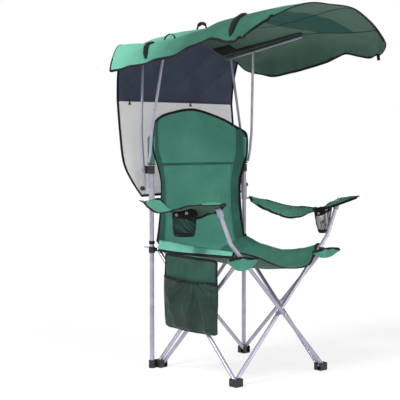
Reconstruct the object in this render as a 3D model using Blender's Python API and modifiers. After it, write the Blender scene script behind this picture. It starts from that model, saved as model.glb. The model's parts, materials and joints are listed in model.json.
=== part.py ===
"""Folding camping chair with a canopy, modelled as its separate pieces.

Metres, Z up. The chair faces -Y, so the sitter's right side is at -X.
A foot stands at each corner, and the four faces between the corners are
scissors of two crossed tubes, which fold the chair into a bundle.
"""

import math

import bmesh
import bpy
from mathutils import Matrix, Vector
from mathutils.bvhtree import BVHTree

# Folding frame
PIVOT_SPACING = 0.434
FOOT_PIVOT_HEIGHT = 0.018
SCISSOR_RISE = 0.444
TUBE_DIAMETER = 0.015
TUBE_OFFSET = 0.0133
TUBE_FOOT_END = 0.007
TUBE_TOP_END = 0.005
RUNNING_GAP = 0.0003
PIN_DIAMETER = 0.005
PIN_HOLE_GAP = 0.0003
PIN_HEAD_DIAMETER = 0.010
PIN_HEAD_HEIGHT = 0.0022
CUT_OVERRUN = 0.010
MERGE_DISTANCE = 0.00003

# Feet
FOOT_OUTER_REACH = 0.0245
FOOT_INNER_REACH = 0.012
FOOT_END_REACH = 0.0140
FOOT_HEIGHT = 0.030
FOOT_FLOOR = 0.0055
FOOT_ROUNDING = 0.003
TUBE_SLOT_GAP = 0.0004
TUBE_SWING_ROOM = 0.0107

# Rear posts
POST_DIAMETER = 0.018
POST_OUT = 0.0285
POST_BACK = 0.019
POST_RISE = 0.128
POST_FIT_GAP = 0.0004
SOCKET_DIAMETER = 0.026
BRIDGE_WIDTH = 0.0135

# Sliders on the posts and hubs at the front seat corners
CORNER_BLOCK_REACH = 0.008
CORNER_BLOCK_HALF_HEIGHT = 0.009
PEG_DIAMETER = 0.0044
SLIDER_DIAMETER = 0.0244
SLIDER_HEIGHT = 0.024
SLIDER_DROP = 0.004
SLIDER_WEB_START = 0.0105
SLIDER_WEB_END = 0.0165
SLIDER_WEB_HALF_HEIGHT = 0.007
LEVER_LENGTH = 0.030
LEVER_WIDTH = 0.011
LEVER_THICKNESS = 0.004
LEVER_LIFT = 0.006
LEVER_GAP = 0.0007
LEVER_AXIS_INSET = 0.0024
LEVER_ROUNDING = 0.001

# Arm tubes, which are the front scissor tubes carried on past the seat
ARM_BEND_X = 0.268
ARM_BEND_RADIUS = 0.050
ARM_TOP_X = 0.327
ARM_TOP_DROP = 0.016
ARM_CAP_DIAMETER = 0.021
ARM_CAP_HEIGHT = 0.034
ARM_CAP_LOWER_SHARE = 0.9
ARM_CAP_ROOF = 0.0015

# Armrests of cloth
ARM_REAR_HEIGHT = 0.645
ARM_REAR_OUT = 0.030
ARM_REAR_SKEW = 0.020
ARM_TIP_X = 0.350
ARM_TIP_Y = -0.285
ARM_TIP_RISE = 0.017
ARM_CLOTH_WIDTH = 0.110
ARM_CLOTH_DROP = 0.045
ARM_BRACKET_HEIGHT = 0.058
ARM_BRACKET_DIAMETER = 0.023
ARM_BRACKET_DROP = 0.010
ARM_LUG_WIDTH = 0.012
ARM_LUG_FORWARD = 0.002

# Cup holders
CUP_DIAMETER = 0.102
CUP_DEPTH = 0.096
CUP_RIM_THICKNESS = 0.004
CUP_WALL = 0.0015
CUP_LIP = 0.003
CUP_BOTTOM_SHARE = 0.82
CUP_X = 0.317
RIGHT_CUP_Y = -0.038
LEFT_CUP_Y = -0.137

# Cloth
CLOTH_THICKNESS = 0.0024
THIN_CLOTH_THICKNESS = 0.0020

# Seat
SEAT_DEPTH = 0.236
SEAT_HALF_WIDTH = 0.2435
SEAT_HEIGHT = 0.480
SEAT_SAG = 0.112
SEAT_SEAM_GAP = 0.0006
FLAP_OUT = 0.098
FLAP_IN = 0.067
FLAP_DEPTH = 0.045
FLAP_HEIGHT = 0.472
FLAP_LEAN = 0.003

# Backrest
BACK_BOTTOM_HEIGHT = 0.490
BACK_BOTTOM_SAG = 0.085
BACK_CORNER_RISE = 0.012
BACK_PEAK_RISE = 0.098
BACK_BULGE = 0.050
BACK_FRONT_GAP = 0.0014
POCKET_DIAMETER = 0.0215
POCKET_HEIGHT = 0.110
POCKET_CAP = 0.004

# Canopy side frames, hinged on brackets at the posts. Each strut goes straight
# up beside the post and leans in to its rail only above the shoulder height.
BRACKET_SPACING = 0.120
BRACKET_BACK = 0.026
BRACKET_LENGTH = 0.052
BRACKET_DEPTH = 0.030
BRACKET_RING_DIAMETER = 0.024
BRACKET_THICKNESS = 0.004
STRUT_OUT = 0.0185
STRUT_SHOULDER_RISE = 0.019
STRUT_DIAMETER = 0.011
STRUT_GAP = 0.0004
STRUT_SIDE_GAP = 0.0014
BOLT_DIAMETER = 0.005
BOLT_HEAD_DIAMETER = 0.011
BOLT_HEAD_HEIGHT = 0.004
STRUT_TAIL_DROP = 0.080
STRUT_TOP_DROP = 0.0015
REAR_STRUT_TOP_Y = 0.303
FRONT_STRUT_FOOT_Y = 0.232
FRONT_STRUT_FOOT_RISE = 0.027
FRONT_STRUT_TOP_Y = 0.172
FRONT_STRUT_BEND_Y = 0.222
FRONT_STRUT_BEND_RISE = 0.063
RAIL_DIAMETER = 0.010
RAIL_X = 0.222
RAIL_INSET = 0.025
RAIL_REAR_RISE = 0.447
RAIL_FRONT_RISE = 0.064
KNOB_DIAMETER = 0.017
KNOB_THICKNESS = 0.009

# Canopy cloth
CANOPY_HALF_WIDTH = 0.357
CANOPY_REAR_Y = 0.345
CANOPY_LENGTH = 0.890
CANOPY_DEPTH = 0.120
CANOPY_COVER_GAP = 0.0015
CANOPY_CEILING = 1.500

# Rear shade
SHADE_HALF_WIDTH = 0.297
SHADE_BACK_Y = 0.368
SHADE_POST_Y = 0.262
SHADE_TOP_GAP = 0.0014
SHADE_DRAPE = 0.055
SHADE_SEAM_DROP = 0.180
SHADE_BOTTOM_RISE = 0.017
SHADE_SEAM_GAP = 0.0008

# Bags and straps
POCKET_BAG_GAP = 0.0016
POCKET_BAG_REAR_Y = 0.146
POCKET_BAG_FRONT_Y = -0.143
POCKET_BAG_TOP = 0.452
POCKET_BAG_BOTTOM = 0.172
POCKET_BAG_DEPTH = 0.016
STRAP_DIAMETER = 0.012
HANDLE_LENGTH = 0.055
HANDLE_RISE = 0.029
HANDLE_FOOT_GAP = 0.0020
HANDLE_DIAMETER = 0.009
SURFACE_GAP = 0.0004

# Worked out from the sizes above
HALF = PIVOT_SPACING / 2
TUBE_RADIUS = TUBE_DIAMETER / 2
POST_RADIUS = POST_DIAMETER / 2
TOP_PIVOT_HEIGHT = FOOT_PIVOT_HEIGHT + SCISSOR_RISE
POST_X = HALF + POST_OUT
POST_Y = HALF + POST_BACK
ARM_TIP_HEIGHT = ARM_REAR_HEIGHT + ARM_TIP_RISE
BRACKET_HEIGHT = ARM_REAR_HEIGHT + BRACKET_SPACING
POST_TOP = BRACKET_HEIGHT + POST_RISE
BACK_CORNER_HEIGHT = POST_TOP + BACK_CORNER_RISE
BACK_PEAK_HEIGHT = BACK_CORNER_HEIGHT + BACK_PEAK_RISE
STRUT_X = POST_X + STRUT_OUT
STRUT_SHOULDER_HEIGHT = POST_TOP + STRUT_SHOULDER_RISE
FRONT_STRUT_FOOT_HEIGHT = BRACKET_HEIGHT + FRONT_STRUT_FOOT_RISE
FRONT_STRUT_BEND_HEIGHT = BRACKET_HEIGHT + FRONT_STRUT_BEND_RISE
STRUT_TOP_X = RAIL_X + RAIL_DIAMETER / 2 + STRUT_DIAMETER / 2 + STRUT_GAP
HINGE_Y = POST_Y + BRACKET_BACK
RAIL_REAR_Y = CANOPY_REAR_Y - RAIL_INSET
RAIL_FRONT_SHARE = 0.5112
RAIL_FRONT_Y = CANOPY_REAR_Y - CANOPY_LENGTH * RAIL_FRONT_SHARE
RAIL_REAR_HEIGHT = BRACKET_HEIGHT + RAIL_REAR_RISE
RAIL_SLOPE = RAIL_FRONT_RISE / (RAIL_REAR_Y - RAIL_FRONT_Y)
SHADE_SEAM_HEIGHT = RAIL_REAR_HEIGHT - SHADE_SEAM_DROP
SHADE_BOTTOM_HEIGHT = ARM_REAR_HEIGHT + SHADE_BOTTOM_RISE
CANOPY_NOSE_SHARE = 1.012
FRAME_Y = (CANOPY_LENGTH * CANOPY_NOSE_SHARE - CANOPY_REAR_Y - SHADE_BACK_Y) / 2

HALF_SLOT_REACH = TUBE_OFFSET + TUBE_RADIUS + TUBE_SLOT_GAP

# Corners counted by quarter turns from the front right one
FRONT_RIGHT, FRONT_LEFT, REAR_LEFT, REAR_RIGHT = range(4)
RIGHT, LEFT = -1, 1

ROUND_SIDES = 16
SMALL_SIDES = 12

parts = None
cutters = None
chair = None
materials = {}


def start_scene():
    """Empty the scene and make the collections and the chair's root empty."""
    global parts, cutters, chair
    for thing in list(bpy.context.scene.objects):
        bpy.data.objects.remove(thing, do_unlink=True)
    parts = bpy.data.collections.new("canopy_camping_chair")
    cutters = bpy.data.collections.new("cutters")
    bpy.context.scene.collection.children.link(parts)
    bpy.context.scene.collection.children.link(cutters)
    chair = bpy.data.objects.new("chair", None)
    chair.location = (0, FRAME_Y, 0)
    parts.objects.link(chair)


def make_material(name, colour, roughness, metallic=0.0):
    """A plain Principled material in the part's colour."""
    made = bpy.data.materials.new(name)
    made.use_nodes = True
    shader = made.node_tree.nodes["Principled BSDF"]
    shader.inputs["Base Color"].default_value = (*colour, 1.0)
    shader.inputs["Roughness"].default_value = roughness
    shader.inputs["Metallic"].default_value = metallic
    made.diffuse_color = (*colour, 1.0)
    materials[name] = made


def make_materials():
    make_material("painted_steel", (0.58, 0.55, 0.63), 0.32, 0.6)
    make_material("zinc_steel", (0.62, 0.62, 0.64), 0.35, 0.9)
    make_material("black_plastic", (0.012, 0.012, 0.014), 0.45)
    make_material("green_cloth", (0.058, 0.216, 0.156), 0.85)
    make_material("black_mesh", (0.02, 0.02, 0.022), 0.8)
    make_material("slate_cloth", (0.034, 0.042, 0.065), 0.8)
    make_material("pale_mesh", (0.55, 0.56, 0.55), 0.85)
    make_material("black_webbing", (0.014, 0.014, 0.016), 0.8)


def add_object(name, mesh, material, origin=(0, 0, 0)):
    """Link a mesh given in the frame's coordinates, with its origin where it turns."""
    origin = Vector(origin)
    mesh.transform(Matrix.Translation(-origin))
    mesh.shade_smooth()
    mesh.set_sharp_from_angle(angle=math.radians(40))
    made = bpy.data.objects.new(name, mesh)
    made.location = origin
    made.parent = chair
    if material:
        mesh.materials.append(materials[material])
        parts.objects.link(made)
    else:
        cutters.objects.link(made)
        made.hide_render = True
        made.display_type = "WIRE"
    return made


def mesh_from(bm, name):
    mesh = bpy.data.meshes.new(name)
    bmesh.ops.recalc_face_normals(bm, faces=bm.faces)
    bm.to_mesh(mesh)
    bm.free()
    return mesh


def add_cylinder(bm, start, end, radius, sides=ROUND_SIDES, end_radius=None):
    """A closed cylinder or cone between two points."""
    start, end = Vector(start), Vector(end)
    along = end - start
    turn = along.to_track_quat("Z", "Y").to_matrix().to_4x4()
    place = Matrix.Translation((start + end) / 2) @ turn
    far_radius = radius if end_radius is None else end_radius
    bmesh.ops.create_cone(
        bm, cap_ends=True, segments=sides, radius1=radius, radius2=far_radius,
        depth=along.length, matrix=place,
    )


def add_box(bm, low, high):
    """A closed box between two opposite corners."""
    low, high = Vector(low), Vector(high)
    size = Vector([abs(b - a) for a, b in zip(low, high)])
    place = Matrix.Translation((low + high) / 2) @ Matrix.Diagonal((*size, 1))
    bmesh.ops.create_cube(bm, size=1.0, matrix=place)


def cylinder(name, start, end, radius, material=None, origin=(0, 0, 0), sides=ROUND_SIDES):
    bm = bmesh.new()
    add_cylinder(bm, start, end, radius, sides)
    return add_object(name, mesh_from(bm, name), material, origin)


def box(name, low, high, material=None, origin=(0, 0, 0)):
    bm = bmesh.new()
    add_box(bm, low, high)
    return add_object(name, mesh_from(bm, name), material, origin)


def swept_tube(name, points, radius, material, origin=(0, 0, 0), resolution=2):
    """A round tube along a line of points, as a closed mesh."""
    curve = bpy.data.curves.new(name + "_path", "CURVE")
    curve.dimensions = "3D"
    curve.bevel_depth = radius
    curve.bevel_resolution = resolution
    curve.use_fill_caps = True
    spline = curve.splines.new("POLY")
    spline.points.add(len(points) - 1)
    for spot, point in zip(spline.points, points):
        spot.co = (*point, 1)
    holder = bpy.data.objects.new(name + "_path", curve)
    cutters.objects.link(holder)
    bpy.context.view_layer.update()
    evaluated = holder.evaluated_get(bpy.context.evaluated_depsgraph_get())
    mesh = bpy.data.meshes.new_from_object(evaluated)
    bpy.data.objects.remove(holder, do_unlink=True)
    bm = bmesh.new()
    bm.from_mesh(mesh)
    bmesh.ops.remove_doubles(bm, verts=bm.verts, dist=MERGE_DISTANCE)
    mesh = mesh_from(bm, name)
    return add_object(name, mesh, material, origin)


def combine(target, tool, operation):
    """Join a tool to a piece or cut it from the piece, by an exact Boolean."""
    step = target.modifiers.new(tool.name, "BOOLEAN")
    step.operation = operation
    step.solver = "EXACT"
    step.object = tool


def join(target, tool):
    combine(target, tool, "UNION")


def cut(target, tool):
    combine(target, tool, "DIFFERENCE")


def corner(index, x, y, z):
    """A point given from a corner's pivot line, x and y pointing to the chair's middle."""
    for _ in range(index):
        x, y = -y, x
    side_x = -HALF if index in (FRONT_RIGHT, REAR_RIGHT) else HALF
    side_y = -HALF if index in (FRONT_RIGHT, FRONT_LEFT) else HALF
    return Vector((side_x + x, side_y + y, z))


def spline_value(points, share):
    """A point on a smooth curve through the given ones, at a share of their count."""
    last = len(points) - 1
    place = min(max(share, 0.0), 1.0) * last
    index = min(int(place), last - 1)
    t = place - index
    before = points[max(index - 1, 0)]
    start = points[index]
    end = points[index + 1]
    after = points[min(index + 2, last)]
    slope_in = (end - before) / 2
    slope_out = (after - start) / 2
    rise = start * (2 * t ** 3 - 3 * t ** 2 + 1) + end * (3 * t ** 2 - 2 * t ** 3)
    return rise + slope_in * (t ** 3 - 2 * t ** 2 + t) + slope_out * (t ** 3 - t ** 2)


def net_point(net, across, along):
    """A point on the smooth surface through a net of points."""
    return spline_value([spline_value(row, across) for row in net], along)


def cloth(name, point_at, across, along, material, origin=(0, 0, 0),
          thickness=CLOTH_THICKNESS, lift=0.0):
    """A closed sheet of cloth from a surface given by two shares."""
    bm = bmesh.new()
    bmesh.ops.create_grid(bm, x_segments=across, y_segments=along, size=0.5)
    for vert in bm.verts:
        vert.co = point_at(vert.co.x + 0.5, vert.co.y + 0.5)
    mesh = bpy.data.meshes.new(name)
    bm.to_mesh(mesh)
    bm.free()
    made = add_object(name, mesh, material, origin)
    shell = made.modifiers.new("cloth", "SOLIDIFY")
    shell.thickness = thickness
    shell.offset = lift
    return made


# How far out, in its radius, the cloth above a boss or a cup's rim is measured
BOSS_RING_SHARES = (0.4, 0.8, 1.1)
RIM_RING_SHARES = (0.94, 0.97, 1.0)


def surface(made):
    """A cloth's finished surface, in the frame's coordinates, to measure on."""
    bpy.context.view_layer.update()
    evaluated = made.evaluated_get(bpy.context.evaluated_depsgraph_get())
    mesh = bpy.data.meshes.new_from_object(evaluated)
    spots = [vert.co + made.location for vert in mesh.vertices]
    faces = [tuple(face.vertices) for face in mesh.polygons]
    tree = BVHTree.FromPolygons(spots, faces)
    bpy.data.meshes.remove(mesh)
    return tree


def height_at(tree, x, y, below=True):
    """The height of a surface's underside, or of its top, at a place."""
    start = Vector((x, y, 0 if below else CANOPY_CEILING))
    way = Vector((0, 0, 1 if below else -1))
    hit = tree.ray_cast(start, way)
    return hit[0].z if hit[0] else None


def seat_height(tree, x, y, radius, ring_shares=BOSS_RING_SHARES):
    """The height at which a round boss or rim ends just under a cloth."""
    heights = []
    steps = 4 * SMALL_SIDES
    for step in range(steps):
        angle = math.tau * step / steps
        for share in ring_shares:
            reach = radius * share
            found = height_at(tree, x + reach * math.cos(angle), y + reach * math.sin(angle))
            if found is not None:
                heights.append(found)
    return min(heights) - 2 * RUNNING_GAP


def scissor_point(start, end, distance):
    """A point on a tube's axis, at a distance from its foot pivot."""
    start, end = Vector(start), Vector(end)
    return start + (end - start).normalized() * distance


def drill(target, centre, axis, name):
    """A pin hole right through a piece."""
    reach = Vector(axis) * (TUBE_DIAMETER + CUT_OVERRUN)
    centre = Vector(centre)
    radius = PIN_DIAMETER / 2 + PIN_HOLE_GAP
    cut(target, cylinder(name, centre - reach, centre + reach, radius, sides=SMALL_SIDES))


def straight_tube(name, foot, top, pin_axis, origin):
    """One straight scissor tube with its three pin holes."""
    length = (Vector(top) - Vector(foot)).length
    start = scissor_point(foot, top, -TUBE_FOOT_END)
    end = scissor_point(foot, top, length + TUBE_TOP_END)
    tube = cylinder(name, start, end, TUBE_RADIUS, "painted_steel", origin)
    for place, share in (("foot", 0.0), ("middle", 0.5), ("top", 1.0)):
        spot = scissor_point(foot, top, length * share)
        drill(tube, spot, pin_axis, f"{name}_{place}_hole")
    return tube


def arm_tube(name, side, y, arm_cloth):
    """A front scissor tube that goes on past the seat corner up to the armrest."""
    foot = Vector((-side * HALF, y, FOOT_PIVOT_HEIGHT))
    hub = Vector((side * HALF, y, TOP_PIVOT_HEIGHT))
    direction = (hub - foot).normalized()
    bend = foot + direction * ((ARM_BEND_X + HALF) / abs(direction.x))
    boss_top = seat_height(arm_cloth, side * ARM_TOP_X, y, PEG_DIAMETER / 2)
    top = Vector((side * ARM_TOP_X, y, boss_top - ARM_TOP_DROP))
    upper = (top - bend).normalized()
    turn = direction.angle(upper)
    run = ARM_BEND_RADIUS * math.tan(turn / 2)
    arc_start = bend - direction * run
    normal = (upper - direction * upper.dot(direction)).normalized()
    steps = 5
    points = [foot - direction * TUBE_FOOT_END]
    for step in range(steps + 1):
        angle = turn * step / steps
        along = direction * (ARM_BEND_RADIUS * math.sin(angle))
        aside = normal * (ARM_BEND_RADIUS * (1 - math.cos(angle)))
        points.append(arc_start + along + aside)
    points.append(top)
    origin = foot if side == LEFT else (foot + hub) / 2
    tube = swept_tube(name, points, TUBE_RADIUS, "painted_steel", origin, resolution=3)
    for place, spot in (("foot", foot), ("middle", (foot + hub) / 2), ("top", hub)):
        drill(tube, spot, (0, 1, 0), f"{name}_{place}_hole")
    cap_low = top - upper * (ARM_CAP_HEIGHT * ARM_CAP_LOWER_SHARE)
    cap_high = cap_low + upper * ARM_CAP_HEIGHT
    cap = cylinder(f"arm_end_cap_{side_word(side)}", cap_low, cap_high,
                   ARM_CAP_DIAMETER / 2, "black_plastic", origin)
    bore = cylinder(f"arm_cap_bore_{side_word(side)}", top - upper * ARM_CAP_HEIGHT,
                    top + upper * RUNNING_GAP, TUBE_RADIUS + POST_FIT_GAP)
    cut(cap, bore)
    join(cap, cylinder(f"arm_cap_boss_{side_word(side)}", cap_high - upper * ARM_CAP_ROOF,
                       (top.x, top.y, boss_top), PEG_DIAMETER / 2, sides=SMALL_SIDES))
    return tube


def side_word(side):
    return "left" if side == LEFT else "right"


def tube_line(foot_corner, top_corner, inside, along_x):
    """The foot and top pivots of a scissor tube between two corners."""
    offset = TUBE_OFFSET if inside else -TUBE_OFFSET
    ends = []
    for index, height in ((foot_corner, FOOT_PIVOT_HEIGHT), (top_corner, TOP_PIVOT_HEIGHT)):
        spot = corner(index, 0, 0, height)
        if along_x:
            spot.y -= offset * math.copysign(1, spot.y)
        else:
            spot.x -= offset * math.copysign(1, spot.x)
        ends.append(spot)
    return ends


def rivet(name, centre, axis, start, end, material, origin):
    """A pin with two heads, joined as one solid."""
    axis = Vector(axis)
    centre = Vector(centre)
    body = cylinder(name, centre + axis * start, centre + axis * end, PIN_DIAMETER / 2,
                    material, origin, SMALL_SIDES)
    for place, spot, way in (("first", start, -1), ("last", end, 1)):
        inner = centre + axis * (spot - way * PIN_HEAD_HEIGHT)
        outer = centre + axis * spot
        head = cylinder(f"{name}_{place}_head", inner, outer, PIN_HEAD_DIAMETER / 2,
                        sides=SMALL_SIDES)
        join(body, head)
    return body


def crossing_rivet(name, low_line, high_line, axis, origin):
    """The rivet and spacer where two scissor tubes cross."""
    middle = (low_line[0] + low_line[1] + high_line[0] + high_line[1]) / 4
    reach = TUBE_OFFSET + TUBE_RADIUS + RUNNING_GAP + PIN_HEAD_HEIGHT
    body = rivet(name, middle, axis, -reach, reach, "zinc_steel", origin)
    axis = Vector(axis)
    spacer_half = TUBE_OFFSET - TUBE_RADIUS - RUNNING_GAP
    spacer = cylinder(f"{name}_spacer", middle - axis * spacer_half,
                      middle + axis * spacer_half, PIN_HEAD_DIAMETER / 2, sides=SMALL_SIDES)
    join(body, spacer)


def corner_box(name, index, low, high, material=None, origin=(0, 0, 0)):
    return box(name, corner(index, *low), corner(index, *high), material, origin)


def foot_pin_ends(index, reach):
    """The ends of a foot's two hinge pins, one for each of its tubes."""
    z = FOOT_PIVOT_HEIGHT
    inner = (corner(index, 0, TUBE_OFFSET - reach, z), corner(index, 0, TUBE_OFFSET + reach, z))
    outer = (corner(index, -TUBE_OFFSET - reach, 0, z), corner(index, -TUBE_OFFSET + reach, 0, z))
    return inner, outer


def foot(name, index, origin, post_side=None):
    """A moulded foot with a slot for each of its two tubes, and a post socket at the rear."""
    low = (-FOOT_OUTER_REACH, -FOOT_END_REACH, 0)
    high = (FOOT_INNER_REACH, FOOT_OUTER_REACH, FOOT_HEIGHT)
    block = corner_box(name, index, low, high, "black_plastic", origin)
    rounding = block.modifiers.new("rounding", "BEVEL")
    rounding.width = FOOT_ROUNDING
    rounding.segments = 2
    if post_side:
        add_post_socket(block, name, index, post_side)
    slot_low = TUBE_OFFSET - TUBE_RADIUS - TUBE_SLOT_GAP
    beyond = FOOT_OUTER_REACH + CUT_OVERRUN
    top = FOOT_HEIGHT + CUT_OVERRUN
    cut(block, corner_box(f"{name}_inner_slot", index,
                          (-TUBE_SWING_ROOM, slot_low, FOOT_FLOOR),
                          (beyond, HALF_SLOT_REACH, top)))
    cut(block, corner_box(f"{name}_outer_slot", index,
                          (-HALF_SLOT_REACH, -TUBE_SWING_ROOM, FOOT_FLOOR),
                          (-slot_low, beyond, top)))
    pin_reach = TUBE_RADIUS + TUBE_SLOT_GAP + FOOT_ROUNDING
    for number, (start, end) in enumerate(foot_pin_ends(index, pin_reach)):
        join(block, cylinder(f"{name}_pin_{number}", start, end, PIN_DIAMETER / 2,
                             sides=SMALL_SIDES))


def add_post_socket(block, name, index, side):
    """The round socket beside a rear foot in which the post stands."""
    low = Vector((side * POST_X, POST_Y, 0))
    high = Vector((side * POST_X, POST_Y, FOOT_HEIGHT))
    join(block, cylinder(f"{name}_socket", low, high, SOCKET_DIAMETER / 2))
    nearer = HALF + FOOT_END_REACH - TUBE_SWING_ROOM / 2
    if side == RIGHT:
        bridge_low_y = HALF + FOOT_OUTER_REACH - BRIDGE_WIDTH
        join(block, box(f"{name}_bridge", (side * POST_X, bridge_low_y, 0),
                        (side * nearer, bridge_low_y + BRIDGE_WIDTH, FOOT_HEIGHT)))
    floor = Vector((side * POST_X, POST_Y, FOOT_FLOOR))
    over = Vector((side * POST_X, POST_Y, FOOT_HEIGHT + CUT_OVERRUN))
    cut(block, cylinder(f"{name}_bore", floor, over, POST_RADIUS + POST_FIT_GAP))


def post(name, side, origin):
    """A vertical rear post, from its foot up into the backrest's corner pocket."""
    low = Vector((side * POST_X, POST_Y, FOOT_FLOOR + RUNNING_GAP))
    high = Vector((side * POST_X, POST_Y, POST_TOP))
    cylinder(name, low, high, POST_RADIUS, "painted_steel", origin)


def seat_peg(block, name, index, cloth_surface):
    """The boss on a corner block to which the seat's corner is riveted."""
    near = TUBE_OFFSET - TUBE_RADIUS - RUNNING_GAP
    middle = (near - CORNER_BLOCK_REACH) / 2
    spot = corner(index, middle, -middle, TOP_PIVOT_HEIGHT)
    top = seat_height(cloth_surface, spot.x, spot.y, PEG_DIAMETER / 2)
    join(block, cylinder(f"{name}_peg", spot, (spot.x, spot.y, top), PEG_DIAMETER / 2,
                         sides=SMALL_SIDES))


def corner_block(name, index, origin):
    """The small block that joins the tops of two scissor tubes at a seat corner."""
    near = TUBE_OFFSET - TUBE_RADIUS - RUNNING_GAP
    low = (-CORNER_BLOCK_REACH, -near, TOP_PIVOT_HEIGHT - CORNER_BLOCK_HALF_HEIGHT)
    high = (near, CORNER_BLOCK_REACH, TOP_PIVOT_HEIGHT + CORNER_BLOCK_HALF_HEIGHT)
    return corner_box(name, index, low, high, "black_plastic", origin)


def corner_pins(block, name, index):
    """The two rivets of a seat corner, joined to its block as they turn with it."""
    z = TOP_PIVOT_HEIGHT
    reach = TUBE_OFFSET + TUBE_RADIUS + RUNNING_GAP
    outer = reach + PIN_HEAD_HEIGHT
    radius = PIN_DIAMETER / 2
    head = PIN_HEAD_DIAMETER / 2
    for number, (inner_end, head_start, head_end) in enumerate((
        (corner(index, 0, 0, z), corner(index, 0, -reach, z), corner(index, 0, -outer, z)),
        (corner(index, 0, 0, z), corner(index, reach, 0, z), corner(index, outer, 0, z)),
    )):
        join(block, cylinder(f"{name}_pin_{number}", inner_end, head_end, radius,
                             sides=SMALL_SIDES))
        join(block, cylinder(f"{name}_head_{number}", head_start, head_end, head,
                             sides=SMALL_SIDES))


def slider_webs(side):
    """The two webs that join a slider's block to its collar, past the outer tube's end.

    The tubes at the two sides lie in different layers, so the webs differ too.
    """
    near = TUBE_OFFSET - TUBE_RADIUS - RUNNING_GAP
    if side == RIGHT:
        inner = -HALF + CORNER_BLOCK_REACH
        return (
            ((-POST_X, HALF + SLIDER_WEB_START), (inner, HALF + SLIDER_WEB_END)),
            ((inner, HALF), (-HALF - near, HALF + SLIDER_WEB_END)),
        )
    return (
        ((HALF, HALF - CORNER_BLOCK_REACH), (POST_X, HALF + near - RUNNING_GAP)),
        ((POST_X - SLIDER_DIAMETER / 2, HALF - CORNER_BLOCK_REACH), (POST_X, POST_Y)),
    )


def slider(name, index, side, origin, cloth_surface):
    """A collar that runs on a post, with the block that two tube tops turn on."""
    block = corner_block(name, index, origin)
    middle = TOP_PIVOT_HEIGHT - SLIDER_DROP
    low = Vector((side * POST_X, POST_Y, middle - SLIDER_HEIGHT / 2))
    high = Vector((side * POST_X, POST_Y, middle + SLIDER_HEIGHT / 2))
    join(block, cylinder(f"{name}_collar", low, high, SLIDER_DIAMETER / 2))
    for number, (low_corner, high_corner) in enumerate(slider_webs(side)):
        join(block, box(f"{name}_web_{number}", (*low_corner, middle - SLIDER_WEB_HALF_HEIGHT),
                        (*high_corner, middle + SLIDER_WEB_HALF_HEIGHT)))
    over = Vector((0, 0, CUT_OVERRUN))
    cut(block, cylinder(f"{name}_bore", low - over, high + over, POST_RADIUS + POST_FIT_GAP))
    corner_pins(block, name, index)
    seat_peg(block, name, index, cloth_surface)


def slider_lever(name, side):
    """The thumb lever that locks a slider to its post."""
    front = POST_Y + SLIDER_DIAMETER / 2 + LEVER_GAP
    middle = TOP_PIVOT_HEIGHT + LEVER_LIFT / 2
    low = (side * POST_X - LEVER_WIDTH / 2, front, middle - LEVER_THICKNESS / 2)
    high = (side * POST_X + LEVER_WIDTH / 2, front + LEVER_LENGTH, middle + LEVER_THICKNESS / 2)
    lever = box(name, low, high, "zinc_steel",
                (side * POST_X, front + LEVER_AXIS_INSET, middle))
    rounding = lever.modifiers.new("rounding", "BEVEL")
    rounding.width = LEVER_ROUNDING
    rounding.segments = 1


def front_hub(name, index, origin, cloth_surface=None):
    block = corner_block(name, index, origin)
    corner_pins(block, name, index)
    if cloth_surface:
        seat_peg(block, name, index, cloth_surface)


def build_frame(rear_seat, front_seat, right_arm, left_arm):
    """The eight scissor tubes with their rivets, the feet, posts, sliders and hubs."""
    right_a = tube_line(REAR_RIGHT, FRONT_RIGHT, True, False)
    right_b = tube_line(FRONT_RIGHT, REAR_RIGHT, False, False)
    left_a = tube_line(REAR_LEFT, FRONT_LEFT, False, False)
    left_b = tube_line(FRONT_LEFT, REAR_LEFT, True, False)
    rear_a = tube_line(REAR_RIGHT, REAR_LEFT, False, True)
    rear_b = tube_line(REAR_LEFT, REAR_RIGHT, True, True)
    front_a = tube_line(FRONT_RIGHT, FRONT_LEFT, True, True)
    front_b = tube_line(FRONT_LEFT, FRONT_RIGHT, False, True)
    sideways, lengthways = (1, 0, 0), (0, 1, 0)
    straight_tube("side_tube_right_low", *right_a, sideways, right_a[0])
    straight_tube("side_tube_right_high", *right_b, sideways, middle_of(right_b))
    straight_tube("side_tube_left_low", *left_a, sideways, left_a[0])
    straight_tube("side_tube_left_high", *left_b, sideways, middle_of(left_b))
    straight_tube("rear_tube_low", *rear_a, lengthways, rear_a[0])
    straight_tube("rear_tube_high", *rear_b, lengthways, middle_of(rear_b))
    arm_tube("arm_tube_left", LEFT, front_a[0].y, left_arm)
    arm_tube("arm_tube_right", RIGHT, front_b[0].y, right_arm)
    crossing_rivet("crossing_rivet_right", right_a, right_b, sideways, right_a[0])
    crossing_rivet("crossing_rivet_left", left_a, left_b, sideways, left_a[0])
    crossing_rivet("crossing_rivet_rear", rear_a, rear_b, lengthways, rear_a[0])
    crossing_rivet("crossing_rivet_front", front_a, front_b, lengthways, front_a[0])
    foot("front_foot_right", FRONT_RIGHT, right_b[0])
    foot("front_foot_left", FRONT_LEFT, front_b[0])
    foot("rear_foot_right", REAR_RIGHT, right_a[0], RIGHT)
    foot("rear_foot_left", REAR_LEFT, rear_b[0], LEFT)
    post("rear_post_right", RIGHT, right_a[0])
    post("rear_post_left", LEFT, rear_b[0])
    slider("slider_right", REAR_RIGHT, RIGHT, right_b[1], rear_seat)
    slider("slider_left", REAR_LEFT, LEFT, left_b[1], rear_seat)
    slider_lever("slider_lever_right", RIGHT)
    slider_lever("slider_lever_left", LEFT)
    front_hub("front_hub_right", FRONT_RIGHT, right_a[1], front_seat)
    front_hub("front_hub_left", FRONT_LEFT, left_a[1])


def middle_of(line):
    return (line[0] + line[1]) / 2


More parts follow.
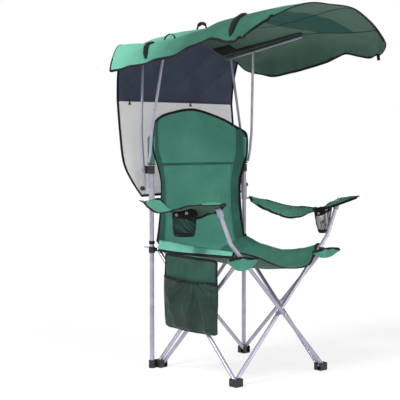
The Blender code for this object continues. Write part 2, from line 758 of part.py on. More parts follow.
def arm_bracket(name, side, arm_cloth):
    """The moulded sleeve on a post, with the lug that an armrest's rear end is riveted to."""
    low = ARM_REAR_HEIGHT - ARM_BRACKET_DROP
    ring = cylinder(name, (side * POST_X, POST_Y, low),
                    (side * POST_X, POST_Y, low + ARM_BRACKET_HEIGHT),
                    ARM_BRACKET_DIAMETER / 2, "black_plastic")
    lug_x = side * (POST_X + ARM_REAR_OUT)
    lug_top = seat_height(arm_cloth, lug_x, POST_Y - ARM_LUG_FORWARD, ARM_LUG_WIDTH / 2)
    join(ring, box(f"{name}_lug",
                   (side * POST_X, POST_Y - ARM_LUG_FORWARD - ARM_LUG_WIDTH / 2, low),
                   (lug_x, POST_Y - ARM_LUG_FORWARD + ARM_LUG_WIDTH / 2, lug_top)))
    over = CUT_OVERRUN
    cut(ring, cylinder(f"{name}_bore", (side * POST_X, POST_Y, low - over),
                       (side * POST_X, POST_Y, low + ARM_BRACKET_HEIGHT + over),
                       POST_RADIUS + RUNNING_GAP))


def canopy_bracket(name, side):
    """The clamp near a post's top that the canopy's side frame hinges on."""
    low = BRACKET_HEIGHT - BRACKET_DEPTH / 2
    high = BRACKET_HEIGHT + BRACKET_DEPTH / 2
    body = cylinder(name, (side * POST_X, POST_Y, low), (side * POST_X, POST_Y, high),
                    BRACKET_RING_DIAMETER / 2, "black_plastic")
    outer = side * (STRUT_X - STRUT_DIAMETER / 2 - STRUT_SIDE_GAP)
    inner = outer - side * BRACKET_THICKNESS
    join(body, box(f"{name}_plate", (inner, POST_Y, low),
                   (outer, POST_Y + BRACKET_LENGTH - BRACKET_DEPTH / 2, high)))
    over = CUT_OVERRUN
    cut(body, cylinder(f"{name}_bore", (side * POST_X, POST_Y, low - over),
                       (side * POST_X, POST_Y, high + over), POST_RADIUS + RUNNING_GAP))
    hole = BOLT_DIAMETER / 2 + PIN_HOLE_GAP
    cut(body, cylinder(f"{name}_hole", (side * POST_X, HINGE_Y, BRACKET_HEIGHT),
                       (side * (STRUT_X + over), HINGE_Y, BRACKET_HEIGHT), hole,
                       sides=SMALL_SIDES))


def rail_height(y):
    return RAIL_REAR_HEIGHT + (RAIL_REAR_Y - y) * RAIL_SLOPE


def shoulder(low, top):
    """Where a strut starts to lean in, on its line as seen from the side."""
    share = (STRUT_SHOULDER_HEIGHT - low.z) / (top.z - low.z)
    return Vector((low.x, low.y + (top.y - low.y) * share, STRUT_SHOULDER_HEIGHT))


def canopy_side(side):
    """One side of the canopy's frame: rear strut, front strut, rail, bolt and knob."""
    word = side_word(side)
    hinge = Vector((side * STRUT_X, HINGE_Y, BRACKET_HEIGHT))
    rail_low = RAIL_DIAMETER / 2
    rear_top = Vector((side * STRUT_TOP_X, REAR_STRUT_TOP_Y, rail_height(REAR_STRUT_TOP_Y)))
    rear_top.z -= STRUT_TOP_DROP
    rear_shoulder = shoulder(hinge, rear_top)
    tail = hinge - (rear_shoulder - hinge).normalized() * STRUT_TAIL_DROP
    rear = swept_tube(f"rear_strut_{word}", [tail, rear_shoulder, rear_top],
                      STRUT_DIAMETER / 2, "painted_steel", hinge, resolution=1)
    reach = STRUT_DIAMETER / 2 + BRACKET_THICKNESS + STRUT_SIDE_GAP
    out = Vector((side, 0, 0))
    hole = BOLT_DIAMETER / 2 + PIN_HOLE_GAP
    for place, spot in (("bolt", hinge), ("knob", knob_centre(hinge, tail))):
        cut(rear, cylinder(f"rear_strut_{word}_{place}_hole", spot - out * CUT_OVERRUN,
                           spot + out * CUT_OVERRUN, hole, sides=SMALL_SIDES))
    front_foot = Vector((side * STRUT_X, FRONT_STRUT_FOOT_Y, FRONT_STRUT_FOOT_HEIGHT))
    front_bend = Vector((side * STRUT_X, FRONT_STRUT_BEND_Y, FRONT_STRUT_BEND_HEIGHT))
    front_top = Vector((side * STRUT_TOP_X, FRONT_STRUT_TOP_Y, rail_height(FRONT_STRUT_TOP_Y)))
    front_top.z -= STRUT_TOP_DROP
    swept_tube(f"front_strut_{word}",
               [front_foot, front_bend, shoulder(front_bend, front_top), front_top],
               STRUT_DIAMETER / 2, "painted_steel", hinge, resolution=1)
    rail_rear = Vector((side * RAIL_X, RAIL_REAR_Y, rail_height(RAIL_REAR_Y)))
    rail_front = Vector((side * RAIL_X, RAIL_FRONT_Y, rail_height(RAIL_FRONT_Y)))
    cylinder(f"canopy_rail_{word}", rail_rear, rail_front, rail_low,
             "painted_steel", hinge, SMALL_SIDES)
    bolt_in = hinge - out * (reach + RUNNING_GAP + BOLT_HEAD_HEIGHT)
    bolt_out = hinge + out * (STRUT_DIAMETER / 2 + STRUT_SIDE_GAP)
    bolt = cylinder(f"canopy_bolt_{word}", bolt_in, bolt_out + out * BOLT_HEAD_HEIGHT,
                    BOLT_DIAMETER / 2, "zinc_steel", hinge, SMALL_SIDES)
    for place, start in (("inner", bolt_in), ("outer", bolt_out)):
        join(bolt, cylinder(f"canopy_bolt_{word}_{place}_head", start,
                            start + out * BOLT_HEAD_HEIGHT, BOLT_HEAD_DIAMETER / 2,
                            sides=SMALL_SIDES))
    centre = knob_centre(hinge, tail)
    shank_in = centre - out * (STRUT_DIAMETER / 2)
    knob_in = centre + out * (STRUT_DIAMETER / 2 + STRUT_SIDE_GAP)
    knob = cylinder(f"canopy_knob_{word}", knob_in, knob_in + out * KNOB_THICKNESS,
                    KNOB_DIAMETER / 2, "black_plastic", centre, SMALL_SIDES)
    join(knob, cylinder(f"canopy_knob_{word}_shank", shank_in, knob_in + out * RUNNING_GAP,
                        BOLT_DIAMETER / 2, sides=SMALL_SIDES))


def knob_centre(hinge, tail):
    """Where the locking knob goes through the strut's tail, just above its end."""
    return tail + (hinge - tail).normalized() * KNOB_DIAMETER / 2


# The canopy's net of points: rows from the rear edge to the front edge. Each
# point is a share across, a share along and a height above the rails' line.
CANOPY_ACROSS_SHARES = (-1.0, -0.86, -0.622, -0.33, 0.0, 0.33, 0.622, 0.86, 1.0)
CANOPY_ALONG_SHARES = (
    (0.010, 0.004, 0.0, 0.0, 0.0, 0.0, 0.0, 0.004, 0.010),
    (0.163,) * 9,
    (0.320,) * 9,
    (0.500,) * 9,
    (0.622,) * 9,
    (0.745, 0.750, 0.755, 0.758, 0.760, 0.755, 0.750, 0.748, 0.745),
    (0.795, 0.835, 0.885, 0.890, 0.885, 0.875, 0.860, 0.838, 0.800),
    (0.822, 0.880, 0.985, 1.012, 1.005, 0.970, 0.925, 0.890, 0.832),
)
CANOPY_HEIGHT_SHARES = (
    (-0.68, 0.08, 0.04, 0.31, 0.40, 0.27, 0.02, -0.12, -0.68),
    (-0.75, -0.17, 0.0, 0.27, 0.34, 0.23, 0.0, -0.25, -0.76),
    (-0.79, -0.25, 0.0, 0.23, 0.27, 0.17, 0.0, -0.33, -0.80),
    (-0.73, -0.25, 0.0, 0.17, 0.13, 0.08, 0.0, -0.33, -0.74),
    (-0.65, -0.19, 0.06, 0.09, 0.03, -0.04, -0.13, -0.39, -0.66),
    (-0.93, -0.35, 0.01, 0.01, -0.02, -0.14, -0.34, -0.65, -0.93),
    (-0.94, -0.49, -0.08, -0.07, -0.09, -0.26, -0.48, -0.79, -0.98),
    (-0.84, -0.49, -0.18, -0.18, -0.19, -0.36, -0.54, -0.85, -0.99),
)


def canopy_net():
    net = []
    cover = RAIL_DIAMETER / 2 + THIN_CLOTH_THICKNESS / 2 + CANOPY_COVER_GAP
    for alongs, heights in zip(CANOPY_ALONG_SHARES, CANOPY_HEIGHT_SHARES):
        row = []
        for across, along, height in zip(CANOPY_ACROSS_SHARES, alongs, heights):
            y = CANOPY_REAR_Y - along * CANOPY_LENGTH
            z = rail_height(y) + cover + height * CANOPY_DEPTH
            row.append(Vector((across * CANOPY_HALF_WIDTH, y, z)))
        net.append(row)
    return net


def canopy_sheet():
    net = canopy_net()
    return surface(cloth("canopy_sheet", lambda u, v: net_point(net, u, v), 24, 22,
                         "green_cloth", thickness=THIN_CLOTH_THICKNESS))


# The seat's net: rows from the rear edge to the front edge, each with its
# columns' shares of the depth forwards and of the sag below the corners.
SEAT_ACROSS_SHARES = (-1.0, -0.97, -0.90, -0.80, -0.55, 0.0, 0.55, 0.80, 0.90, 0.97, 1.0)
SEAT_FORWARD_SHARES = (
    (-0.85, -0.86, -0.935, -0.92, -0.91, -0.91, -0.91, -0.92, -0.935, -0.86, -0.85),
    (-0.46,) * 11,
    (0.0,) * 11,
    (0.46, 0.46, 0.46, 0.46, 0.46, 0.46, 0.46, 0.46, 0.45, 0.44, 0.44),
    (0.92, 0.92, 0.93, 0.94, 0.985, 1.0, 0.97, 0.88, 0.815, 0.815, 0.81),
)
SEAT_SAG_SHARES = (
    (0.20, 0.0, 0.0, 0.02, 0.24, 0.58, 0.24, 0.02, 0.0, 0.0, 0.20),
    (0.25, 0.05, 0.13, 0.28, 0.66, 0.91, 0.66, 0.28, 0.13, 0.05, 0.25),
    (0.25, 0.07, 0.17, 0.34, 0.76, 1.0, 0.76, 0.34, 0.17, 0.07, 0.25),
    (0.22, 0.07, 0.14, 0.28, 0.66, 0.91, 0.66, 0.28, 0.14, 0.07, 0.22),
    (0.17, 0.0, 0.0, 0.02, 0.22, 0.70, 0.22, 0.02, 0.0, 0.0, 0.17),
)


def seat_net():
    net = []
    for forwards, sags in zip(SEAT_FORWARD_SHARES, SEAT_SAG_SHARES):
        row = [Vector((across * SEAT_HALF_WIDTH, -forward * SEAT_DEPTH,
                       SEAT_HEIGHT - sag * SEAT_SAG))
               for across, forward, sag in zip(SEAT_ACROSS_SHARES, forwards, sags)]
        net.append(row)
    return net


def build_seat():
    """The seat's sling, sewn across its middle from a rear half and a front half."""
    net = seat_net()
    half_gap = SEAT_SEAM_GAP / SEAT_DEPTH / 4
    rear = 0.5 - half_gap
    hinge = Vector((RIGHT * SEAT_HALF_WIDTH, HALF, TOP_PIVOT_HEIGHT))
    rear_half = cloth("seat_rear", lambda u, v: net_point(net, u, v * rear), 20, 8,
                      "green_cloth", hinge, THIN_CLOTH_THICKNESS)
    hinge = Vector((RIGHT * SEAT_HALF_WIDTH, -HALF, TOP_PIVOT_HEIGHT))
    front_half = cloth("seat_front", lambda u, v: net_point(net, u, 1 - (1 - v) * rear), 20, 8,
                       "green_cloth", hinge, THIN_CLOTH_THICKNESS)
    seat_flap("seat_flap_right", RIGHT)
    seat_flap("seat_flap_left", LEFT)
    return surface(rear_half), surface(front_half)


# The corner flap's net: rows downwards, columns from its outer tip inwards.
FLAP_ACROSS_SHARES = ((-0.9, -0.4, 0.2, 0.9), (-1.0, -0.4, 0.3, 0.8), (-0.75, -0.4, 0.1, 0.5))
FLAP_DROP_SHARES = ((0.12, 0.0, 0.08, 0.20), (0.35, 0.50, 0.55, 0.50), (0.60, 0.95, 1.0, 0.80))


def seat_flap(name, side):
    """The corner of the seat's cloth that hangs down over a front hub."""
    net = []
    behind = THIN_CLOTH_THICKNESS / 2 + RUNNING_GAP
    if side == RIGHT:
        front = -HALF - TUBE_OFFSET - TUBE_RADIUS - RUNNING_GAP - PIN_HEAD_HEIGHT - behind
    else:
        front = -HALF - math.hypot(TUBE_TOP_END, TUBE_RADIUS) - behind
    for acrosses, drops in zip(FLAP_ACROSS_SHARES, FLAP_DROP_SHARES):
        row = []
        for across, drop in zip(acrosses, drops):
            reach = FLAP_IN if across > 0 else FLAP_OUT
            x = side * (HALF - across * reach)
            lean = drop ** 2 * FLAP_LEAN
            row.append(Vector((x, front - lean, FLAP_HEIGHT - drop * FLAP_DEPTH)))
        net.append(row)
    cloth(name, lambda u, v: net_point(net, u, v), 8, 5, "green_cloth",
          (side * HALF, -HALF, TOP_PIVOT_HEIGHT), THIN_CLOTH_THICKNESS)


# The backrest's net: rows from the bottom to the top edge, as shares of the
# corner height, of the post spacing and of the bulge to the rear.
BACK_HEIGHT_SHARES = (0.0, 0.16, 0.34, 0.50, 0.64, 0.76, 0.88, 1.0)
BACK_WIDTH_SHARES = (0.96, 0.90, 0.84, 0.835, 0.86, 0.945, 0.975, 0.955)
BACK_ACROSS_SHARES = (-1.0, -0.62, 0.0, 0.62, 1.0)
BACK_EDGE_RISE_SHARES = (0.0, 0.72, 1.0, 0.72, 0.0)
BACK_BULGE_SHARES = (0.10, 0.50, 0.72, 0.84, 0.92, 0.97, 1.0, 1.0)
BACK_ACROSS_BULGE_SHARES = (0.0, 0.62, 1.0, 0.62, 0.0)


def back_net():
    net = []
    front = POST_Y - POST_RADIUS - CLOTH_THICKNESS / 2 - BACK_FRONT_GAP
    for height, width, bulge in zip(BACK_HEIGHT_SHARES, BACK_WIDTH_SHARES, BACK_BULGE_SHARES):
        row = []
        for across, rise, aside in zip(BACK_ACROSS_SHARES, BACK_EDGE_RISE_SHARES,
                                       BACK_ACROSS_BULGE_SHARES):
            top = BACK_CORNER_HEIGHT + rise * (BACK_PEAK_HEIGHT - BACK_CORNER_HEIGHT)
            low = BACK_BOTTOM_HEIGHT - aside * BACK_BOTTOM_SAG
            z = low + (top - low) * height
            y = front + bulge * aside * BACK_BULGE
            row.append(Vector((across * width * POST_X, y, z)))
        net.append(row)
    return net


def build_back():
    net = back_net()
    cloth("backrest", lambda u, v: net_point(net, u, v), 14, 16, "green_cloth",
          (RIGHT * POST_X, POST_Y, 0))
    for side in (RIGHT, LEFT):
        back_pocket(f"back_pocket_{side_word(side)}", side)


def back_pocket(name, side):
    """The pocket at a top corner of the backrest, which slips over the post."""
    high = POST_TOP + RUNNING_GAP + POCKET_CAP
    low = high - POCKET_HEIGHT
    sleeve = cylinder(name, (side * POST_X, POST_Y, low), (side * POST_X, POST_Y, high),
                      POCKET_DIAMETER / 2, "green_cloth")
    cut(sleeve, cylinder(f"{name}_bore", (side * POST_X, POST_Y, low - CUT_OVERRUN),
                         (side * POST_X, POST_Y, POST_TOP + RUNNING_GAP),
                         POST_RADIUS + RUNNING_GAP))


# An armrest's net: rows from the post to the front tip. Each row has a share
# of the way along, the inner and outer hems' widths and their drops.
ARM_ROW_SHARES = (
    (0.0, 0.10, 0.16, 0.10, 0.20),
    (0.18, 0.34, 0.46, 0.30, 0.62),
    (0.40, 0.50, 0.62, 0.25, 0.92),
    (0.62, 0.50, 0.60, 0.20, 0.88),
    (0.84, 0.34, 0.34, 0.18, 0.45),
    (1.0, 0.08, 0.08, 0.05, 0.10),
)

# Between an armrest's top line and a hem lies one more point: its shares of
# the hem's width and of the hem's drop.
ARM_INNER_SHARES = (0.5, 0.25)
ARM_OUTER_SHARES = (0.55, 0.30)


def arm_line(side, along):
    """A point on an armrest's top line, from its bracket to its front tip."""
    rear = Vector((side * (POST_X + ARM_REAR_OUT), POST_Y, ARM_REAR_HEIGHT))
    tip = Vector((side * ARM_TIP_X, ARM_TIP_Y, ARM_TIP_HEIGHT))
    return rear + (tip - rear) * along


def arm_net(side):
    net = []
    for along, inner, outer, inner_drop, outer_drop in ARM_ROW_SHARES:
        middle = arm_line(side, along)
        skew = Vector((0, ARM_REAR_SKEW * (1 - along) ** 4, 0))
        in_by = Vector((-side * ARM_CLOTH_WIDTH * inner, 0, 0))
        out_by = Vector((side * ARM_CLOTH_WIDTH * outer, 0, 0))
        in_down = Vector((0, 0, -ARM_CLOTH_DROP * inner_drop))
        out_down = Vector((0, 0, -ARM_CLOTH_DROP * outer_drop))
        row = [
            middle + in_by + in_down - skew,
            middle + in_by * ARM_INNER_SHARES[0] + in_down * ARM_INNER_SHARES[1] - skew / 2,
            middle,
            middle + out_by * ARM_OUTER_SHARES[0] + out_down * ARM_OUTER_SHARES[1] + skew / 2,
            middle + out_by + out_down + skew,
        ]
        net.append(row)
    return net


def build_arm(side, cup_y):
    """An armrest of cloth and its cup holder, with a rim ring and a net bag."""
    word = side_word(side)
    net = arm_net(side)
    origin = net[0][2]
    armrest = cloth(f"armrest_{word}", lambda u, v: net_point(net, u, v), 10, 16,
                    "green_cloth", origin, THIN_CLOTH_THICKNESS)
    arm_cloth = surface(armrest)
    inner = CUP_DIAMETER / 2 - CUP_RIM_THICKNESS
    rim = seat_height(arm_cloth, side * CUP_X, cup_y, CUP_DIAMETER / 2, RIM_RING_SHARES)
    cut(armrest, cylinder(f"armrest_{word}_hole", (side * CUP_X, cup_y, rim - CUP_DEPTH),
                          (side * CUP_X, cup_y, rim + CUP_DEPTH),
                          inner))
    cup_holder(f"cup_holder_{word}", side, cup_y, rim, origin)
    arm_bracket(f"arm_bracket_{word}", side, arm_cloth)
    return arm_cloth


def cup_holder(name, side, y, rim, origin):
    """A turned cup: thick rim, thin wall that narrows downwards, and a bottom."""
    radius = CUP_DIAMETER / 2
    low = rim - CUP_DEPTH
    base = radius * CUP_BOTTOM_SHARE
    outline = (
        (0, low),
        (base, low),
        (radius, rim - CUP_RIM_THICKNESS),
        (radius, rim),
        (radius - CUP_RIM_THICKNESS, rim),
        (radius - CUP_LIP, rim - CUP_RIM_THICKNESS),
        (base - CUP_WALL, low + CUP_WALL),
        (0, low + CUP_WALL),
    )
    bm = bmesh.new()
    ring = [bm.verts.new((x, 0, z)) for x, z in outline]
    edges = [bm.edges.new(pair) for pair in zip(ring, ring[1:])]
    bmesh.ops.spin(bm, geom=ring + edges, cent=(0, 0, 0), axis=(0, 0, 1),
                   angle=math.tau, steps=ROUND_SIDES, use_duplicate=False)
    bmesh.ops.remove_doubles(bm, verts=bm.verts, dist=MERGE_DISTANCE)
    bmesh.ops.translate(bm, verts=bm.verts, vec=(side * CUP_X, y, 0))
    add_object(name, mesh_from(bm, name), "black_mesh", origin)


# The shade's rows from its top hem to its bottom hem: a height share, a share
# of the way from the posts back to the full depth, a width share and how much
# of the drape behind the backrest the row has.
SHADE_PANEL_SHARES = ((0.0, 0.70, 1.0, 0.0), (0.5, 0.93, 1.0, 0.0), (1.0, 1.0, 0.99, 0.0))
SHADE_MESH_SHARES = (
    (0.0, 1.0, 0.99, 0.0),
    (0.35, 0.86, 0.99, 0.0),
    (0.65, 0.66, 0.99, 0.0),
    (0.84, 0.34, 0.95, 0.7),
    (1.0, 0.0, 0.885, 1.0),
)
SHADE_ACROSS_DRAPE_SHARES = (0.0, 0.45, 0.9, 1.0, 0.9, 0.45, 0.0)


def shade_net(rows, tops, bottom):
    """Rows of points under the canopy's own columns, which the top hem follows."""
    net = []
    for down, back, width, drape in rows:
        row = []
        for column, top in enumerate(tops):
            across = CANOPY_ACROSS_SHARES[column + 1] / CANOPY_ACROSS_SHARES[-2]
            y = SHADE_POST_Y + (SHADE_BACK_Y - SHADE_POST_Y) * back
            y += SHADE_ACROSS_DRAPE_SHARES[column] * drape * SHADE_DRAPE
            row.append(Vector((across * width * SHADE_HALF_WIDTH, y, top + (bottom - top) * down)))
        net.append(row)
    return net


def build_shade():
    """The sun shade behind the backrest: a cloth panel with a mesh panel below it."""
    tops = [point.z - SHADE_TOP_GAP for point in canopy_net()[0][1:-1]]
    panel = shade_net(SHADE_PANEL_SHARES, tops, SHADE_SEAM_HEIGHT)
    seam = SHADE_SEAM_HEIGHT - SHADE_SEAM_GAP
    mesh = shade_net(SHADE_MESH_SHARES, [seam] * len(tops), SHADE_BOTTOM_HEIGHT)
    cloth("shade_panel", lambda u, v: net_point(panel, u, v), 14, 6, "slate_cloth",
          thickness=THIN_CLOTH_THICKNESS)
    cloth("shade_mesh", lambda u, v: net_point(mesh, u, v), 14, 12, "pale_mesh",
          thickness=THIN_CLOTH_THICKNESS)


def side_bag():
    """The storage bag that hangs beside the seat."""
    x = RIGHT * (SEAT_HALF_WIDTH + POCKET_BAG_GAP)
    bag = box("side_bag", (x, POCKET_BAG_REAR_Y, POCKET_BAG_BOTTOM),
              (x - POCKET_BAG_DEPTH, POCKET_BAG_FRONT_Y, POCKET_BAG_TOP), "green_cloth",
              (x, POCKET_BAG_REAR_Y, POCKET_BAG_TOP))
    wall = THIN_CLOTH_THICKNESS
    cut(bag, box("side_bag_inside", (x - wall, POCKET_BAG_REAR_Y - wall, POCKET_BAG_BOTTOM + wall),
                 (x - POCKET_BAG_DEPTH + wall, POCKET_BAG_FRONT_Y + wall,
                  POCKET_BAG_TOP + CUT_OVERRUN)))


# Where the two shoulder straps lie on the canopy's right flap: shares across
# and along the canopy's net for the upper and the lower end.
SHOULDER_STRAP_SHARES = (((0.235, 0.135), (0.045, 0.200)), ((0.235, 0.655), (0.050, 0.690)))
HANDLE_PLACE_SHARES = (0.44, 0.185)
SLOPE_STEP_SHARE = 0.01


def surface_frame(net, across, along):
    """A point just above the canopy, with the surface's normal there."""
    step = SLOPE_STEP_SHARE
    spot = net_point(net, across, along)
    side = net_point(net, across + step, along) - net_point(net, across - step, along)
    ahead = net_point(net, across, along + step) - net_point(net, across, along - step)
    normal = side.cross(ahead).normalized()
    if normal.z < 0:
        normal = -normal
    return spot, normal


def canopy_straps():
    """The two shoulder straps for carrying, on the canopy's outside."""
    net = canopy_net()
    height = THIN_CLOTH_THICKNESS / 2 + RUNNING_GAP + SURFACE_GAP + STRAP_DIAMETER / 2
    for place, (start, end) in zip(("rear", "front"), SHOULDER_STRAP_SHARES):
        spots = []
        for step in range(10):
            share = step / 9
            across = start[0] + (end[0] - start[0]) * share
            along = start[1] + (end[1] - start[1]) * share
            spot, normal = surface_frame(net, across, along)
            spots.append(spot + normal * height)
        swept_tube(f"shoulder_strap_{place}", spots, STRAP_DIAMETER / 2, "black_webbing",
                   resolution=1)


def canopy_handle(top):
    """The carrying handle, a padded loop that stands on the canopy's ridge."""
    spot, _ = surface_frame(canopy_net(), *HANDLE_PLACE_SHARES)
    points = []
    steps = 8
    for step in range(steps + 1):
        angle = math.pi * step / steps
        y = spot.y + math.cos(angle) * HANDLE_LENGTH / 2
        base = height_at(top, spot.x, y, below=False)
        rise = HANDLE_FOOT_GAP + math.sin(angle) * HANDLE_RISE
        points.append(Vector((spot.x, y, base + rise)))
    swept_tube("canopy_handle", points, HANDLE_DIAMETER / 2, "black_webbing", resolution=1)


def build():
    start_scene()
    make_materials()
    rear_seat, front_seat = build_seat()
    right_arm = build_arm(RIGHT, RIGHT_CUP_Y)
    left_arm = build_arm(LEFT, LEFT_CUP_Y)
    build_frame(rear_seat, front_seat, right_arm, left_arm)
    for side in (RIGHT, LEFT):
        canopy_bracket(f"canopy_bracket_{side_word(side)}", side)
        canopy_side(side)
    build_back()
    canopy_top = canopy_sheet()
    build_shade()
    side_bag()
    canopy_straps()
    canopy_handle(canopy_top)


build()
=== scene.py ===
"""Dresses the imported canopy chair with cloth, nets, straps, materials, light and a camera.

Metres, Z up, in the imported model's own frame. The chair faces -Y, so the
sitter's right side is at -X. Each cloth is a grid of points on a smooth
surface through a few points, which are shares of the sizes named here.
"""

import json
import math

import bpy
import numpy as np
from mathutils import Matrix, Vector, noise


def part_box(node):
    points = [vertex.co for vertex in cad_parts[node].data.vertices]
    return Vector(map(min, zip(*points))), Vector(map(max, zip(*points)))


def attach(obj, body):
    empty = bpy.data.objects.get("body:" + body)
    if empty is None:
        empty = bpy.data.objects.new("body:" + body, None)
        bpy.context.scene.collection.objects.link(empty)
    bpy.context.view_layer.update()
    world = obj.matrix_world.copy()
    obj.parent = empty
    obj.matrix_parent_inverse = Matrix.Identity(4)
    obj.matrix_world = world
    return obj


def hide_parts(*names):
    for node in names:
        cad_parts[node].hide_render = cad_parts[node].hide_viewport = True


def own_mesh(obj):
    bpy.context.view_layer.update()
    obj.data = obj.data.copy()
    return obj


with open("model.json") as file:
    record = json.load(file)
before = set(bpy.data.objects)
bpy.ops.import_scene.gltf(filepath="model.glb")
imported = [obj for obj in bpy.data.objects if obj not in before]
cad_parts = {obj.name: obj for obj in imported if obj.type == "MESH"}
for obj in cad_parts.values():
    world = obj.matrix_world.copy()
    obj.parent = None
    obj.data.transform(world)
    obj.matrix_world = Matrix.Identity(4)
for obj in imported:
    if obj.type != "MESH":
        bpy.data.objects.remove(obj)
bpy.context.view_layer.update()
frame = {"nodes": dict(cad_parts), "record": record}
NODES = frame["nodes"]

RIGHT, LEFT = -1, 1
SIDE_WORDS = {RIGHT: "right", LEFT: "left"}


def middle(name):
    """The middle of a CAD node's box."""
    low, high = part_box(name)
    return (low + high) / 2


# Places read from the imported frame, and the posts' size. FRAME_Y is the middle of the folding frame,
# from which the cloths' places along Y are measured.
FRAME_Y = middle("crossing_rivet_right").y
POST_X = middle("rear_post_left").x
POST_Y = middle("rear_post_left").y
POST_RADIUS = 0.009
POST_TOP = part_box("rear_post_left")[1].z
FOLD_TRAVEL = 0.2906

# Cloth in general
CLOTH_THICKNESS = 0.0016
BINDING_WIDTH = 0.0105
BINDING_THICKNESS = 0.0034
STITCH_PITCH = 0.0065
STITCH_LENGTH = 0.0042
STITCH_WIDTH = 0.0009
SEAM_WIDTH = 0.009
SEAM_THICKNESS = 0.0010
SEAM_INSET_SHARE = 0.33
LAY_GAP = 0.0003

# Canopy
CANOPY_HALF_WIDTH = 0.357
CANOPY_REAR_Y = 0.345
CANOPY_LENGTH = 0.890
CANOPY_DEPTH = 0.120
CANOPY_COVER = 0.0075
RAIL_X = 0.222
RAIL_REAR_Y = 0.320
RAIL_REAR_HEIGHT = 1.212
RAIL_SLOPE = 0.1488
CANOPY_BILLOW = 0.007
FLAP_FOLD = 0.010

# Rear shade
SHADE_HALF_WIDTH = 0.309
SHADE_BACK_Y = 0.374
SHADE_POST_Y = 0.262
SHADE_TOP_GAP = 0.0030
SHADE_DRAPE = 0.055
SHADE_SEAM_HEIGHT = 1.032
SHADE_BOTTOM_HEIGHT = 0.662
SHADE_FOLD = 0.010
HOOK_PLACES = (-0.232, 0.060)

# Backrest
BACK_BOTTOM_HEIGHT = 0.490
BACK_BOTTOM_SAG = 0.085
BACK_CORNER_HEIGHT = 0.905
BACK_PEAK_HEIGHT = 1.003
BACK_BULGE = 0.050
BACK_FRONT_GAP = 0.0050
BACK_SEAM_HEIGHT = 0.784
BACK_BAND_SHARE = 0.160
BACK_FOLD = 0.0090

# Seat
SEAT_DEPTH = 0.236
SEAT_HALF_WIDTH = 0.2435
SEAT_HEIGHT = 0.480
SEAT_SAG = 0.112
SEAT_FOLD = 0.0050
SEAT_STRIP_SHARE = 0.125

# Armrests
ARM_REAR_HEIGHT = 0.645
ARM_REAR_OUT = 0.030
ARM_REAR_SKEW = 0.020
ARM_TIP = (0.350, -0.285, 0.662)
ARM_CLOTH_WIDTH = 0.110
ARM_CLOTH_DROP = 0.045
ARM_HALF_DROP_SHARE = 0.35


def spline_value(points, share):
    """A point on a smooth curve through the given ones, at a share of their count."""
    last = len(points) - 1
    place = min(max(share, 0.0), 1.0) * last
    index = min(int(place), last - 1)
    t = place - index
    before = points[max(index - 1, 0)]
    start = points[index]
    end = points[index + 1]
    after = points[min(index + 2, last)]
    slope_in = (end - before) / 2
    slope_out = (after - start) / 2
    rise = start * (2 * t ** 3 - 3 * t ** 2 + 1) + end * (3 * t ** 2 - 2 * t ** 3)
    return rise + slope_in * (t ** 3 - 2 * t ** 2 + t) + slope_out * (t ** 3 - t ** 2)


def net_point(net, across, along):
    """A point on the smooth surface through a net of points."""
    return spline_value([spline_value(row, across) for row in net], along)


def smooth(value):
    """0 below 0, 1 above 1 and a smooth rise between them."""
    t = min(max(value, 0.0), 1.0)
    return t * t * (3 - 2 * t)


def share_where(reached, high, steps):
    """The share up to which a test isn't yet met, found by halving."""
    low = 0.0
    for _ in range(steps):
        half = (low + high) / 2
        if reached(half):
            high = half
        else:
            low = half
    return low


def ripple_noise(x, y, seed):
    """Smooth noise over a cloth's shares, from -1 to 1."""
    return noise.noise(Vector((x, y, seed)))


def crease_noise(x, y, seed):
    """Thin ridges, as where cloth is pinched: 1 on a crease and near 0 elsewhere."""
    return (1 - abs(ripple_noise(x, y, seed))) ** 7


def rounded(u, v, corner_u, corner_v):
    """Draws the corners of a square of shares in to quarter rounds."""
    over = max(0.0, abs(2 * v - 1) - 1 + 2 * corner_v) / (2 * corner_v)
    draw = corner_u * (1 - math.sqrt(max(0.0, 1 - over * over)))
    return draw + u * (1 - 2 * draw), v


# Materials


def colour(red, green, blue):
    """A linear colour from one as a screen shows it."""
    shares = [channel / 255 for channel in (red, green, blue)]
    linear = [s / 12.92 if s <= 0.04045 else ((s + 0.055) / 1.055) ** 2.4 for s in shares]
    return (*linear, 1.0)


